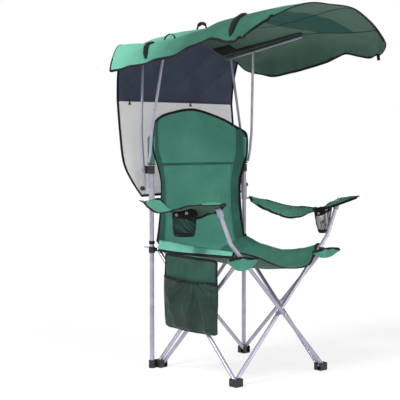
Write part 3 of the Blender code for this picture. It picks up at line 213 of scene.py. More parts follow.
class Graph:
    """A material's nodes, with a Principled shader at their end."""

    def __init__(self, name):
        self.material = bpy.data.materials.new(name)
        self.material.use_nodes = True
        self.tree = self.material.node_tree
        self.tree.nodes.clear()
        self.shader = self.add("ShaderNodeBsdfPrincipled")
        out = self.add("ShaderNodeOutputMaterial")
        self.tree.links.new(self.shader.outputs[0], out.inputs[0])

    def add(self, kind, inputs=None, **settings):
        made = self.tree.nodes.new(kind)
        for key, value in settings.items():
            setattr(made, key, value)
        for key, value in (inputs or {}).items():
            self.put(made.inputs[key], value)
        return made

    def put(self, socket, value):
        if isinstance(value, bpy.types.NodeSocket):
            self.tree.links.new(value, socket)
        else:
            socket.default_value = value

    def set(self, **inputs):
        for key, value in inputs.items():
            self.put(self.shader.inputs[key.replace("_", " ")], value)

    def maths(self, operation, first, second=0.0):
        made = self.add("ShaderNodeMath", {0: first, 1: second}, operation=operation)
        return made.outputs[0]

    def mix(self, share, first, second):
        made = self.add("ShaderNodeMix", {0: share, 6: first, 7: second}, data_type="RGBA")
        return made.outputs[2]

    def scaled(self, where, scale):
        made = self.add("ShaderNodeVectorMath", {0: where, 1: scale}, operation="MULTIPLY")
        return made.outputs[0]

    def noise(self, where, scale, detail=2.0, distortion=0.0):
        made = self.add("ShaderNodeTexNoise", {"Vector": where, "Scale": scale, "Detail": detail,
                                               "Distortion": distortion})
        return made.outputs[0]

    def spread(self, value, low, high, to_low=0.0, to_high=1.0):
        made = self.add("ShaderNodeMapRange", {0: value, 1: low, 2: high, 3: to_low, 4: to_high})
        return made.outputs[0]

    def bump(self, height, distance, strength=1.0):
        made = self.add("ShaderNodeBump", {"Height": height, "Distance": distance,
                                           "Strength": strength})
        self.put(self.shader.inputs["Normal"], made.outputs[0])

    def uv(self):
        return self.add("ShaderNodeTexCoord").outputs["UV"]

    def place(self):
        return self.add("ShaderNodeTexCoord").outputs["Object"]

    def waves(self, where, pitch_u, pitch_v):
        """Sines along the two directions of a cloth, each from -1 to 1."""
        parts = self.add("ShaderNodeSeparateXYZ", {0: where})
        waves = []
        for index, pitch in enumerate((pitch_u, pitch_v)):
            turn = self.maths("MULTIPLY", parts.outputs[index], math.tau / pitch)
            waves.append(self.maths("SINE", turn))
        return waves


WEAVE_PITCH = 0.0011
CLOTH_SHEEN = 0.05
# How far forward from the rear hem the painted light fades out.
PAINTED_LIGHT_LENGTH = 0.42


def cloth_material(name, light, dark, roughness=0.74, streak=0.12, painted_light=None):
    """Plain-weave coated polyester: threads, slubs, faint creases and a soft sheen.

    A cloth given a painted light colour is painted that lighter colour at its rear hem, a painted highlight,
    and turns to its own colour further forward.
    """
    graph = Graph(name)
    where = graph.uv()
    warp, weft = graph.waves(where, WEAVE_PITCH, WEAVE_PITCH)
    weave = graph.maths("MULTIPLY", warp, weft)
    slub_along = graph.noise(graph.scaled(where, (900.0, 22.0, 1.0)), 1.0)
    slub_across = graph.noise(graph.scaled(where, (22.0, 900.0, 1.0)), 1.0)
    slubs = graph.maths("ADD", slub_along, slub_across)
    clouds = graph.noise(where, 7.0, 4.0, 0.4)
    tone = graph.spread(clouds, 0.30, 0.72)
    base = graph.mix(tone, dark, light)
    # Painted light: lighter at the rear hem, fading into the cloth's own colour further forward.
    if painted_light:
        along = graph.add("ShaderNodeSeparateXYZ", {0: where}).outputs[1]
        base = graph.mix(graph.spread(along, 0.0, PAINTED_LIGHT_LENGTH, 1.0, 0.0), base, painted_light)
    shade = graph.spread(slubs, 0.6, 1.4, 1 - streak, 1 + streak)
    thread = graph.spread(weave, -1.0, 1.0, 0.94, 1.04)
    scale = graph.maths("MULTIPLY", shade, thread)
    tinted = graph.add("ShaderNodeVectorMath", {0: base, "Scale": scale}, operation="SCALE")
    crumple = graph.noise(where, 55.0, 5.0, 0.6)
    crumple_height = graph.maths("MULTIPLY", crumple, 1.6)
    fine = graph.maths("MULTIPLY", weave, 0.12)
    graph.set(Base_Color=tinted.outputs[0], Sheen_Weight=CLOTH_SHEEN, Sheen_Roughness=0.45,
              Specular_IOR_Level=0.22,
              Roughness=graph.spread(clouds, 0.3, 0.7, roughness - 0.08, roughness + 0.06))
    graph.bump(graph.maths("ADD", crumple_height, fine), 0.0009)
    return graph.material


def net_material(name, light, dark, pitch, closed):
    """A knitted net: threads round a slanting pattern of see-through holes.

    A higher value of closed makes the holes smaller, from 0 to 4.
    """
    graph = Graph(name)
    where = graph.uv()
    turned = graph.add("ShaderNodeVectorRotate", {"Vector": where, "Angle": math.pi / 4})
    first, second = graph.waves(turned.outputs[0], pitch, pitch)
    holes = graph.maths("MULTIPLY", graph.maths("ADD", first, 1.0), graph.maths("ADD", second, 1.0))
    solid = graph.spread(holes, closed - 0.2, closed + 0.2, 1.0, 0.0)
    fuzz = graph.noise(where, 300.0, 3.0)
    graph.set(Base_Color=graph.mix(fuzz, dark, light), Roughness=0.7,
              Alpha=solid, Specular_IOR_Level=0.2)
    graph.bump(holes, 0.0006, 0.6)
    return graph.material


def webbing_material(name, light, dark, rib=0.0016):
    """Woven webbing or bias tape, ribbed along its length."""
    graph = Graph(name)
    where = graph.uv()
    along, across = graph.waves(where, rib, rib * 0.8)
    ribs = graph.maths("MULTIPLY", along, across)
    fuzz = graph.noise(where, 240.0, 4.0)
    wear = graph.noise(where, 9.0, 3.0)
    shade = graph.mix(graph.spread(wear, 0.35, 0.7), dark, light)
    graph.set(Base_Color=shade, Roughness=graph.spread(fuzz, 0.2, 0.8, 0.66, 0.9),
              Sheen_Weight=0.04, Sheen_Roughness=0.5, Specular_IOR_Level=0.22)
    graph.bump(graph.maths("ADD", ribs, fuzz), 0.0004)
    return graph.material


def painted_metal(name, light, dark, roughness, metallic):
    """Semi-gloss paint over steel tube, with faint orange peel and dulled patches."""
    graph = Graph(name)
    where = graph.place()
    peel = graph.noise(where, 520.0, 2.0)
    dull = graph.noise(where, 26.0, 5.0, 0.5)
    graph.set(Base_Color=graph.mix(graph.spread(dull, 0.35, 0.7), light, dark), Metallic=metallic,
              Roughness=graph.spread(dull, 0.3, 0.75, roughness - 0.06, roughness + 0.14),
              Coat_Weight=0.15, Coat_Roughness=0.25)
    graph.bump(peel, 0.00003, 0.4)
    return graph.material


def plated_metal(name, light, dark):
    """Zinc-plated steel, with fine turned lines and mottled plating."""
    graph = Graph(name)
    where = graph.place()
    lines = graph.noise(graph.scaled(where, (90.0, 90.0, 2400.0)), 1.0, 3.0)
    mottle = graph.noise(where, 160.0, 4.0)
    graph.set(Base_Color=graph.mix(mottle, dark, light), Metallic=0.9,
              Roughness=graph.spread(mottle, 0.3, 0.7, 0.26, 0.44))
    graph.bump(lines, 0.0001, 0.5)
    return graph.material


def moulded_plastic(name, light, dark):
    """Moulded nylon with a fine grain and paler scuffs."""
    graph = Graph(name)
    where = graph.place()
    grain = graph.noise(where, 1500.0, 3.0)
    scuffs = graph.noise(where, 75.0, 5.0, 0.7)
    graph.set(Base_Color=graph.mix(graph.spread(scuffs, 0.55, 0.8), dark, light),
              Roughness=graph.spread(scuffs, 0.3, 0.75, 0.38, 0.60))
    graph.bump(grain, 0.00022, 0.7)
    return graph.material


GREEN = cloth_material("green_cloth", colour(78, 142, 125), colour(62, 126, 108))
# The canopy's cloth: painted light at its rear hem, and painted shade further forward, where its colour is
# darker.
GREEN_CANOPY_PAINTED_LIGHT = cloth_material("green_canopy_cloth_painted_light", colour(45, 104, 86), colour(31, 84, 68),
                           roughness=0.56, painted_light=colour(104, 180, 156))
# A darker copy of the green cloth, painted shade on the backrest's side bands; the backrest's cross seam uses
# it too.
GREEN_PAINTED_SHADE = cloth_material("green_side_band_painted_shade", colour(52, 102, 88), colour(38, 82, 70))
# The seat's middle is a darker copy of the green cloth, a painted shade, and its side strips a lighter one,
# painted light.
GREEN_SEAT_PAINTED_SHADE = cloth_material("green_seat_cloth_painted_shade", colour(50, 104, 89), colour(34, 80, 68))
GREEN_STRIP_PAINTED_LIGHT = cloth_material("green_seat_strip_painted_light", colour(112, 184, 162), colour(84, 154, 133),
                             roughness=0.5)
# The side bag's panel: a darker copy of the green cloth, painted shade.
GREEN_BAG_PAINTED_SHADE = cloth_material("green_bag_cloth_painted_shade", colour(42, 84, 71), colour(28, 62, 53), roughness=0.55)
GREEN_UNDER = cloth_material("green_cloth_underside", colour(70, 102, 86), colour(60, 90, 75),
                             streak=0.07)
# The side bag's pocket: a still darker copy of the green cloth, painted shade.
GREEN_POCKET_PAINTED_SHADE = cloth_material("green_pocket_cloth_painted_shade", colour(30, 56, 49), colour(20, 40, 35), roughness=0.46)
SLATE = cloth_material("slate_cloth", colour(78, 84, 104), colour(64, 71, 90))
VENT = net_material("teal_vent_net", colour(22, 86, 76), colour(12, 60, 54), 0.0032, 3.85)
PALE_NET = net_material("pale_shade_net", colour(204, 204, 206), colour(170, 172, 176), 0.0050, 0.55)
BLACK_NET = net_material("black_cup_net", colour(36, 38, 40), colour(14, 15, 17), 0.0045, 0.36)
TAPE = webbing_material("black_binding_tape", colour(24, 22, 25), colour(11, 10, 12))
WEBBING = webbing_material("black_webbing", colour(26, 24, 27), colour(10, 9, 11), 0.0022)
THREAD = webbing_material("green_thread", colour(60, 112, 94), colour(36, 80, 66), 0.0005)
BLACK_THREAD = webbing_material("black_thread", colour(88, 84, 88), colour(48, 46, 50), 0.0005)
STEEL = painted_metal("painted_steel", colour(174, 171, 190), colour(156, 153, 173), 0.32, 0.60)
CAP = moulded_plastic("grey_cap", colour(190, 188, 200), colour(150, 148, 162))
ZINC = plated_metal("zinc_steel", colour(214, 214, 218), colour(168, 168, 174))
PLASTIC = moulded_plastic("black_plastic", colour(62, 62, 66), colour(22, 22, 25))

# Meshes


def add_mesh(name, points, faces, materials, uvs=None, face_materials=None):
    """A smooth-shaded mesh object; uvs holds one place on the cloth for each corner of a face."""
    mesh = bpy.data.meshes.new(name)
    mesh.from_pydata([tuple(p) for p in points], [], faces)
    for material in materials:
        mesh.materials.append(material)
    if uvs is not None:
        layer = mesh.uv_layers.new(name="metres")
        layer.data.foreach_set("uv", np.array(uvs, dtype=np.float32).ravel())
    if face_materials is not None:
        mesh.polygons.foreach_set("material_index", face_materials)
    mesh.shade_smooth()
    mesh.validate()
    made = bpy.data.objects.new(name, mesh)
    bpy.context.scene.collection.objects.link(made)
    return made


class Fold:
    """How a cloth gathers when the chair folds: along an axis, towards an anchor."""

    def __init__(self, axis, anchor, keep):
        self.axis, self.anchor, self.keep = axis, anchor, keep


def settle(made, body, fold=None, finish=None):
    """A finished piece takes its place on a CAD body; a piece given a fold gets a mesh of its own, and the
    finish is not used.
    """
    if fold:
        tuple(fold.axis)
        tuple(fold.anchor)
        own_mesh(made)
    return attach(made, body)


class Sheet:
    """A sheet of cloth: rows of points on its middle surface, with their normals."""

    def __init__(self, surface, across, along, facing, ripple=None):
        self.across, self.along = across, along
        self.facing = np.array(facing, float)
        shares = [[(i / across, j / along) for i in range(across + 1)] for j in range(along + 1)]
        self.points = np.array([[tuple(surface(u, v)) for u, v in row] for row in shares])
        self.normals = self.find_normals()
        if ripple:
            rise = np.array([[ripple(u, v) for u, v in row] for row in shares])
            self.points = self.points + self.normals * rise[..., None]
            self.normals = self.find_normals()

    def find_normals(self):
        side = np.gradient(self.points, axis=1)
        ahead = np.gradient(self.points, axis=0)
        normals = np.cross(side, ahead)
        normals /= np.linalg.norm(normals, axis=2, keepdims=True)
        return normals if (normals @ self.facing).mean() > 0 else -normals

    def at(self, u, v):
        """The point and the normal at a place on the sheet."""
        column, row = min(max(u, 0), 1) * self.across, min(max(v, 0), 1) * self.along
        i, j = min(int(column), self.across - 1), min(int(row), self.along - 1)
        s, t = column - i, row - j
        found = []
        for grid in (self.points, self.normals):
            low = grid[j, i] * (1 - s) + grid[j, i + 1] * s
            high = grid[j + 1, i] * (1 - s) + grid[j + 1, i + 1] * s
            found.append(Vector(low * (1 - t) + high * t))
        return found[0], found[1].normalized()

    def border(self, sides="0123"):
        """Frames along the chosen sides, and whether they close.

        The sides are 0 the first row, 1 the last column, 2 the last row and 3 the first column.
        """
        last_row, last_column = self.along, self.across
        lines = {
            "0": [(0, i, 1, i) for i in range(last_column + 1)],
            "1": [(j, last_column, j, last_column - 1) for j in range(last_row + 1)],
            "2": [(last_row, i, last_row - 1, i) for i in range(last_column, -1, -1)],
            "3": [(j, 0, j, 1) for j in range(last_row, -1, -1)],
        }
        places = []
        for side in sides:
            line = lines[side]
            places += line[1:] if places and places[-1][:2] == line[0][:2] else line
        closed = places[0][:2] == places[-1][:2]
        if closed:
            places = places[:-1]
        spots = [(Vector(self.points[j, i]), Vector(self.normals[j, i]),
                  Vector(self.points[b, a]) - Vector(self.points[j, i])) for j, i, b, a in places]
        return spots, closed

    def build(self, name, pairs, thickness=CLOTH_THICKNESS, zone=None):
        """The sheet as a thin closed mesh; each zone has a material outside and one inside."""
        rows, columns = self.along + 1, self.across + 1
        top = (self.points + self.normals * thickness / 2).reshape(-1, 3)
        low = (self.points - self.normals * thickness / 2).reshape(-1, 3)
        row = self.points[self.along // 2]
        column = self.points[:, self.across // 2]
        wide = np.concatenate(([0], np.cumsum(np.linalg.norm(np.diff(row, axis=0), axis=1))))
        long = np.concatenate(([0], np.cumsum(np.linalg.norm(np.diff(column, axis=0), axis=1))))
        count = rows * columns
        faces, uvs, indices = [], [], []

        def add_face(corners, material):
            faces.append([j * columns + i + level * count for j, i, level in corners])
            uvs.extend((wide[i], long[j]) for j, i, _ in corners)
            indices.append(material)

        side = np.gradient(self.points, axis=1)[0, 0]
        ahead = np.gradient(self.points, axis=0)[0, 0]
        turned = np.dot(np.cross(side, ahead), self.normals[0, 0]) < 0
        for j in range(self.along):
            for i in range(self.across):
                chosen = 2 * (zone((i + 0.5) / self.across, (j + 0.5) / self.along) if zone else 0)
                quad = [(j, i), (j, i + 1), (j + 1, i + 1), (j + 1, i)]
                if turned:
                    quad.reverse()
                add_face([(b, a, 0) for b, a in quad], chosen)
                add_face([(b, a, 1) for b, a in reversed(quad)], chosen + 1)
        edge = [(0, i) for i in range(self.across)] + [(j, self.across) for j in range(self.along)]
        edge += [(self.along, i) for i in range(self.across, 0, -1)]
        edge += [(j, 0) for j in range(self.along, 0, -1)]
        for start, end in zip(edge, edge[1:] + edge[:1]):
            corners = [(*start, 0), (*start, 1), (*end, 1), (*end, 0)]
            if turned:
                corners.reverse()
            add_face(corners, 1)
        materials = [material for pair in pairs for material in pair]
        return add_mesh(name, np.concatenate((top, low)), faces, materials, uvs, indices)


def tape_section(width, thickness, shift=0.0, lift=0.0):
    """A flat band's rounded outline, as places sideways and upwards."""
    w, t = width / 2, thickness / 2
    round_off = min(w, t) * 0.6
    outline = ((-w, -t + round_off), (-w + round_off, -t), (w - round_off, -t), (w, -t + round_off),
               (w, t - round_off), (w - round_off, t), (-w + round_off, t), (-w, t - round_off))
    return [(x + shift, y + lift) for x, y in outline]


def round_section(radius, sides=10):
    """Places round a circle."""
    return [(radius * math.cos(math.tau * i / sides), radius * math.sin(math.tau * i / sides))
            for i in range(sides)]


def frames_on(sheet, places):
    """Frames along a line on a sheet, given by its places."""
    found = [sheet.at(u, v) for u, v in places]
    return frames_from([p for p, _ in found], [n for _, n in found])


def frames_from(points, normals):
    """Each point with its normal and its sideways direction."""
    made = []
    for index, (point, normal) in enumerate(zip(points, normals)):
        before, after = points[max(index - 1, 0)], points[min(index + 1, len(points) - 1)]
        ahead = (after - before).normalized()
        made.append((point, normal, ahead.cross(normal).normalized()))
    return made


def line_places(start, end, count):
    """Evenly spaced places between two on a sheet."""
    return [(start[0] + (end[0] - start[0]) * i / count, start[1] + (end[1] - start[1]) * i / count)
            for i in range(count + 1)]


def sweep(name, frames, section, material, closed=False, scales=None):
    """A closed outline carried along frames, each a point, its normal and a sideways direction."""
    points, faces, uvs = [], [], []
    count, size = len(frames), len(section)
    around = [0.0]
    for (x, y), (a, b) in zip(section, section[1:] + section[:1]):
        around.append(around[-1] + math.hypot(a - x, b - y))
    along = [0.0]
    for index in range(count):
        after = frames[(index + 1) % count][0]
        along.append(along[-1] + (after - frames[index][0]).length)
    flip = False
    for index, (point, normal, side) in enumerate(frames):
        before = frames[index - 1 if closed or index else 0][0]
        after = frames[(index + 1) % count if closed else min(index + 1, count - 1)][0]
        ahead = (after - before).normalized()
        side = (side - ahead * side.dot(ahead)).normalized()
        up = side.cross(ahead)
        if up.dot(normal) < 0:
            up = -up
            flip = True
        wide, high = scales[index] if scales else (1.0, 1.0)
        points.extend(point + side * (x * wide) + up * (y * high) for x, y in section)
    for index in range(count if closed else count - 1):
        after = (index + 1) % count
        for i in range(size):
            k = (i + 1) % size
            corners = [(index, i, along[index], around[i]), (index, k, along[index], around[i + 1]),
                       (after, k, along[index + 1], around[i + 1]),
                       (after, i, along[index + 1], around[i])]
            if not flip:
                corners.reverse()
            faces.append([a * size + b for a, b, _, _ in corners])
            uvs.extend((s, t) for _, _, s, t in corners)
    if not closed:
        first, last = list(range(size)), [(count - 1) * size + i for i in range(size)]
        faces.append(first if not flip else first[::-1])
        faces.append(last[::-1] if not flip else last)
        uvs.extend([(0.0, around[i]) for i in range(size)] * 2)
    return add_mesh(name, points, faces, [material], uvs)


def stitches(name, rows, material):
    """A row of stitches along each list of frames, each stitch a thin spindle."""
    points, faces = [], []
    for frames, inset, height in rows:
        travelled, wanted = 0.0, STITCH_PITCH / 2
        for (start, normal, side), (end, _, _) in zip(frames, frames[1:]):
            step = (end - start).length
            while step > 0 and travelled + step >= wanted:
                share = (wanted - travelled) / step
                ahead = (end - start) / step
                across = (side - ahead * side.dot(ahead)).normalized()
                centre = start + (end - start) * share + across * inset + normal * height
                half = ahead * (STITCH_LENGTH / 2)
                sides = [across, normal, -across, -normal]
                first = len(points)
                points.append(centre - half)
                points.extend(centre + way * (STITCH_WIDTH / 2) for way in sides)
                points.append(centre + half)
                for i in range(4):
                    k = (i + 1) % 4
                    faces.append([first, first + 1 + k, first + 1 + i])
                    faces.append([first + 5, first + 1 + i, first + 1 + k])
                wanted += STITCH_PITCH
            travelled += step
    uvs = [(points[i].x + points[i].z, points[i].y) for face in faces for i in face]
    return add_mesh(name, points, faces, [material], uvs)


def bind(sheet, name, sides="0123", width=BINDING_WIDTH):
    """Bias tape folded over a sheet's edge, with its row of stitches on both faces."""
    spots, closed = sheet.border(sides)
    section = tape_section(width, BINDING_THICKNESS, shift=width / 2 - BINDING_THICKNESS / 2)
    tape = sweep(name, spots, section, TAPE, closed)
    height = BINDING_THICKNESS / 2
    inset = width * 0.72
    loop = spots + spots[:1] if closed else spots
    sewn = stitches(f"{name}_stitches", [(loop, inset, height), (loop, inset, -height)],
                    BLACK_THREAD)
    return [tape, sewn]


def seam(sheet, name, places, material, side=1, width=SEAM_WIDTH):
    """A flat felled seam along a line on a sheet, with its two rows of stitches."""
    frames = frames_on(sheet, places)
    lift = side * (CLOTH_THICKNESS / 2 + SEAM_THICKNESS / 2 - LAY_GAP)
    band = sweep(name, frames, tape_section(width, SEAM_THICKNESS, lift=lift), material)
    height = side * (CLOTH_THICKNESS / 2 + SEAM_THICKNESS)
    inset = width * SEAM_INSET_SHARE
    sewn = stitches(f"{name}_stitches", [(frames, inset, height), (frames, -inset, height)], THREAD)
    return [band, sewn]


def settle_all(pieces, body, fold=None, finish=None):
    """Settles each of some pieces."""
    for piece in pieces:
        settle(piece, body, fold, finish)


# Canopy

CANOPY_ACROSS_SHARES = (-1.0, -0.86, -0.622, -0.33, 0.0, 0.33, 0.622, 0.86, 1.0)
CANOPY_ALONG_SHARES = (
    (-0.018, -0.022, -0.024, -0.024, -0.024, -0.024, -0.022, -0.016, -0.008),
    (0.163,) * 9,
    (0.320,) * 9,
    (0.500,) * 9,
    (0.622,) * 9,
    (0.745, 0.750, 0.755, 0.758, 0.760, 0.755, 0.750, 0.748, 0.745),
    (0.795, 0.835, 0.885, 0.890, 0.885, 0.875, 0.860, 0.838, 0.800),
    (0.822, 0.880, 0.985, 1.012, 1.005, 0.970, 0.925, 0.890, 0.832),
)
CANOPY_HEIGHT_SHARES = (
    (-0.64, 0.22, 0.24, 0.56, 0.74, 0.46, 0.06, -0.02, -0.32),
    (-0.74, -0.08, 0.09, 0.43, 0.56, 0.34, 0.02, -0.24, -0.80),
    (-0.79, -0.23, 0.03, 0.30, 0.38, 0.22, 0.0, -0.35, -0.90),
    (-0.73, -0.25, 0.0, 0.17, 0.13, 0.08, 0.0, -0.36, -0.86),
    (-0.65, -0.19, 0.06, 0.07, 0.01, -0.05, -0.13, -0.42, -0.78),
    (-0.93, -0.35, 0.01, -0.01, -0.04, -0.15, -0.34, -0.68, -1.05),
    (-0.94, -0.49, -0.08, -0.07, -0.09, -0.26, -0.48, -0.83, -1.06),
    (-0.84, -0.49, -0.18, -0.18, -0.19, -0.36, -0.54, -0.85, -0.99),
)
CANOPY_CORNER_SHARES = (0.045, 0.030)
# The net's columns are evenly spaced in the sheet's shares
RIGHT_RAIL_SHARE, RIDGE_SHARE, LEFT_RAIL_SHARE = 0.25, 0.5, 0.75
VENT_START_SHARE, VENT_END_SHARE = 0.547, 0.778
CANOPY_FOLD = Fold((1, 0, 0), (-RAIL_X, 0, 0), 1 - FOLD_TRAVEL / (2 * RAIL_X))


def on_canopy(*pieces, finish="black_webbing"):
    """Settles pieces on the body that the canopy tilts with."""
    for piece in pieces:
        settle(piece, "right_canopy", CANOPY_FOLD, finish)


def rail_height(y):
    """The height of the rails' axes; y is measured from the folding frame's middle."""
    return RAIL_REAR_HEIGHT + (RAIL_REAR_Y - y) * RAIL_SLOPE


def canopy_net():
    """The canopy's middle surface, as rows of points from rear to front."""
    net = []
    for alongs, heights in zip(CANOPY_ALONG_SHARES, CANOPY_HEIGHT_SHARES):
        row = []
        for across, along, height in zip(CANOPY_ACROSS_SHARES, alongs, heights):
            y = CANOPY_REAR_Y - along * CANOPY_LENGTH
            z = rail_height(y) + CANOPY_COVER + height * CANOPY_DEPTH
            row.append(Vector((across * CANOPY_HALF_WIDTH, FRAME_Y + y, z)))
        net.append(row)
    return net


def canopy_height(u, y):
    """The height of the canopy's middle surface near its rear hem, at a place along Y."""
    net = canopy_net()
    along = share_where(lambda v: net_point(net, u, v).y <= y, 0.4, 24)
    return net_point(net, u, along).z


def canopy_ripple(u, v):
    """Billows between the rails, and slanting folds in the side flaps below them."""
    rail_distance = min(abs(u - RIGHT_RAIL_SHARE), abs(u - LEFT_RAIL_SHARE))
    free = smooth(rail_distance / 0.10) * smooth(v / 0.10) * smooth((1.02 - v) / 0.10)
    top = ripple_noise(u * 3.5, v * 4.2, 1.7) * CANOPY_BILLOW
    crease = crease_noise(u * 4.0 + v * 1.5, v * 5.0 - u * 2.0, 8.2) * 0.0035
    outside = smooth((abs(u - 0.5) - 0.25) / 0.08)
    slant = v * 11 + (0.25 - min(u, 1 - u)) * 7
    folds = ripple_noise(slant, u * 1.2, 4.4) * FLAP_FOLD
    return free * ((top + crease) * (1 - outside) + (folds + crease) * outside)


def build_canopy():
    """The canopy's cloth with its vents, bindings and seams, and what is sewn to it."""
    net = canopy_net()
    sheet = Sheet(lambda u, v: net_point(net, *rounded(u, v, *CANOPY_CORNER_SHARES)), 112, 120,
                  (0, 0, 1), canopy_ripple)

    def zone(u, v):
        in_band = VENT_START_SHARE < v < VENT_END_SHARE
        return 1 if in_band and RIGHT_RAIL_SHARE < u < LEFT_RAIL_SHARE else 0

    # The canopy's cloth is painted lighter at its rear and darker forward: painted light and painted shade.
    cloth = sheet.build("canopy_cloth", [(GREEN_CANOPY_PAINTED_LIGHT, GREEN_UNDER), (VENT, VENT)], zone=zone)
    trims = bind(sheet, "canopy_binding")
    for word, share in (("right", RIGHT_RAIL_SHARE), ("ridge", RIDGE_SHARE),
                        ("left", LEFT_RAIL_SHARE)):
        places = line_places((share, 0.012), (share, 0.99), 100)
        trims += seam(sheet, f"canopy_seam_{word}", places, GREEN_CANOPY_PAINTED_LIGHT)
        trims += seam(sheet, f"canopy_seam_{word}_under", places, TAPE, side=-1, width=0.004)
    for word, share in (("rear", VENT_START_SHARE), ("front", VENT_END_SHARE)):
        places = line_places((RIGHT_RAIL_SHARE, share), (LEFT_RAIL_SHARE, share), 60)
        trims += seam(sheet, f"vent_seam_{word}", places, GREEN_CANOPY_PAINTED_LIGHT, width=0.007)
    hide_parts("canopy_sheet")
    on_canopy(cloth, finish="green_cloth")
    on_canopy(*trims)
    for side in (RIGHT, LEFT):
        rail_tunnel(sheet, side)
    tie_tabs(sheet)
    hanging_loop(sheet)
    straps(sheet)


TUNNEL_WIDTH = 0.020
TUNNEL_THICKNESS = 0.0016
TUNNEL_INWARD_SHARE = 0.028
TUNNEL_START_SHARE, TUNNEL_END_SHARE = 0.12, 0.46
PATCH_WIDTH = 0.055
PATCH_INWARD_SHARE = TUNNEL_INWARD_SHARE * 1.9
PATCH_START_SHARE = 0.045


def rail_tunnel(sheet, side):
    """The black tape under the canopy, just inside a rail, that holds the rail to the cloth."""
    word = SIDE_WORDS[side]
    share = RIGHT_RAIL_SHARE if side == RIGHT else LEFT_RAIL_SHARE
    across = share - side * TUNNEL_INWARD_SHARE
    frames = frames_on(sheet, line_places((across, TUNNEL_START_SHARE), (across, TUNNEL_END_SHARE), 40))
    lift = -(CLOTH_THICKNESS / 2 + TUNNEL_THICKNESS / 2 + LAY_GAP)
    tape = sweep(f"rail_tape_{word}", frames,
                 tape_section(TUNNEL_WIDTH, TUNNEL_THICKNESS, lift=lift), WEBBING)
    across = share - side * PATCH_INWARD_SHARE
    patch_places = line_places((across, PATCH_START_SHARE), (across, TUNNEL_START_SHARE), 12)
    patch = sweep(f"rail_patch_{word}", frames_on(sheet, patch_places),
                  tape_section(PATCH_WIDTH, TUNNEL_THICKNESS,
                               lift=lift - TUNNEL_THICKNESS - LAY_GAP), TAPE)
    on_canopy(tape, patch)


LOOP_SHARES = ((0.215, 0.185), (0.205, 0.262))
LOOP_HEIGHT = 0.022


def hanging_loop(sheet):
    """A thin webbing loop that stands up from the canopy beside the handle."""
    steps = 20
    (start_u, start_v), (end_u, end_v) = LOOP_SHARES
    points = []
    for i in range(steps + 1):
        t = i / steps
        point, _ = sheet.at(start_u + (end_u - start_u) * t, start_v + (end_v - start_v) * t)
        points.append(point + Vector((0, 0, LOOP_HEIGHT * math.sin(math.pi * t) ** 0.5 + 0.001)))
    frames = frames_from(points, [Vector((0, 0, 1))] * len(points))
    loop = sweep("hanging_loop", frames, tape_section(0.007, 0.0022), WEBBING)
    on_canopy(loop)


TAB_SHARES = (0.865, 0.885)


def tie_tabs(sheet):
    """Two short webbing tabs that hang from the canopy's left hem near its front."""
    for index, along in enumerate(TAB_SHARES):
        point, _ = sheet.at(1.0, along)
        drop = [point + Vector((0.001 * i, 0, -0.006 * i)) for i in range(4)]
        frames = frames_from(drop, [Vector((1, 0, 0))] * 4)
        tab = sweep(f"tie_tab_{index}", frames, tape_section(0.009, 0.0022), WEBBING)
        on_canopy(tab)


STRAP_WIDTH = 0.021
STRAP_PAD_THICKNESS = 0.0105
STRAP_STEPS = 44
STRAP_SHARES = (((0.205, 0.135), (0.045, 0.200)), ((0.225, 0.655), (0.050, 0.690)))
STRAP_END_SHARES = ((0.0, 0.45, 0.35), (0.06, 0.62, 0.6), (0.16, 0.9, 0.95), (0.5, 1.0, 1.0),
                    (0.84, 0.9, 0.95), (0.94, 0.62, 0.6), (1.0, 0.45, 0.35))


def between(rows, share):
    """The values of a table of rows, each with its share first, at a share between them."""
    for low, high in zip(rows, rows[1:]):
        if share <= high[0]:
            t = smooth((share - low[0]) / (high[0] - low[0]))
            return [a + (b - a) * t for a, b in zip(low[1:], high[1:])]
    return list(rows[-1][1:])


def straps(sheet):
    """The two padded shoulder straps on the canopy's right flap, and then the carrying handle."""
    for word, (start, end) in zip(("rear", "front"), STRAP_SHARES):
        frames = frames_on(sheet, line_places(start, end, STRAP_STEPS))
        scales = [between(STRAP_END_SHARES, i / STRAP_STEPS) for i in range(STRAP_STEPS + 1)]
        lift = CLOTH_THICKNESS / 2 + LAY_GAP
        raised = [(p + n * (lift + STRAP_PAD_THICKNESS / 2 * high), n, s)
                  for (p, n, s), (_, high) in zip(frames, scales)]
        section = [(x * STRAP_WIDTH / 2, y * STRAP_PAD_THICKNESS / 2)
                   for x, y in crowned_outline(16)]
        pad = sweep(f"shoulder_pad_{word}", raised, section, WEBBING, scales=scales)
        rows = [(raised, side * STRAP_WIDTH * 0.36, STRAP_PAD_THICKNESS * 0.40) for side in (-1, 1)]
        sewn = stitches(f"shoulder_pad_{word}_stitches", rows, BLACK_THREAD)
        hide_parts(f"shoulder_strap_{word}")
        on_canopy(pad, sewn)
    handle(sheet)


def crowned_outline(sides):
    """A soft flat outline between a rectangle and an ellipse, of half sizes 1."""
    outline = []
    for i in range(sides):
        angle = math.tau * i / sides
        c, s = math.cos(angle), math.sin(angle)
        outline.append((math.copysign(abs(c) ** 0.7, c), math.copysign(abs(s) ** 0.7, s)))
    return outline


HANDLE_RISE = 0.025


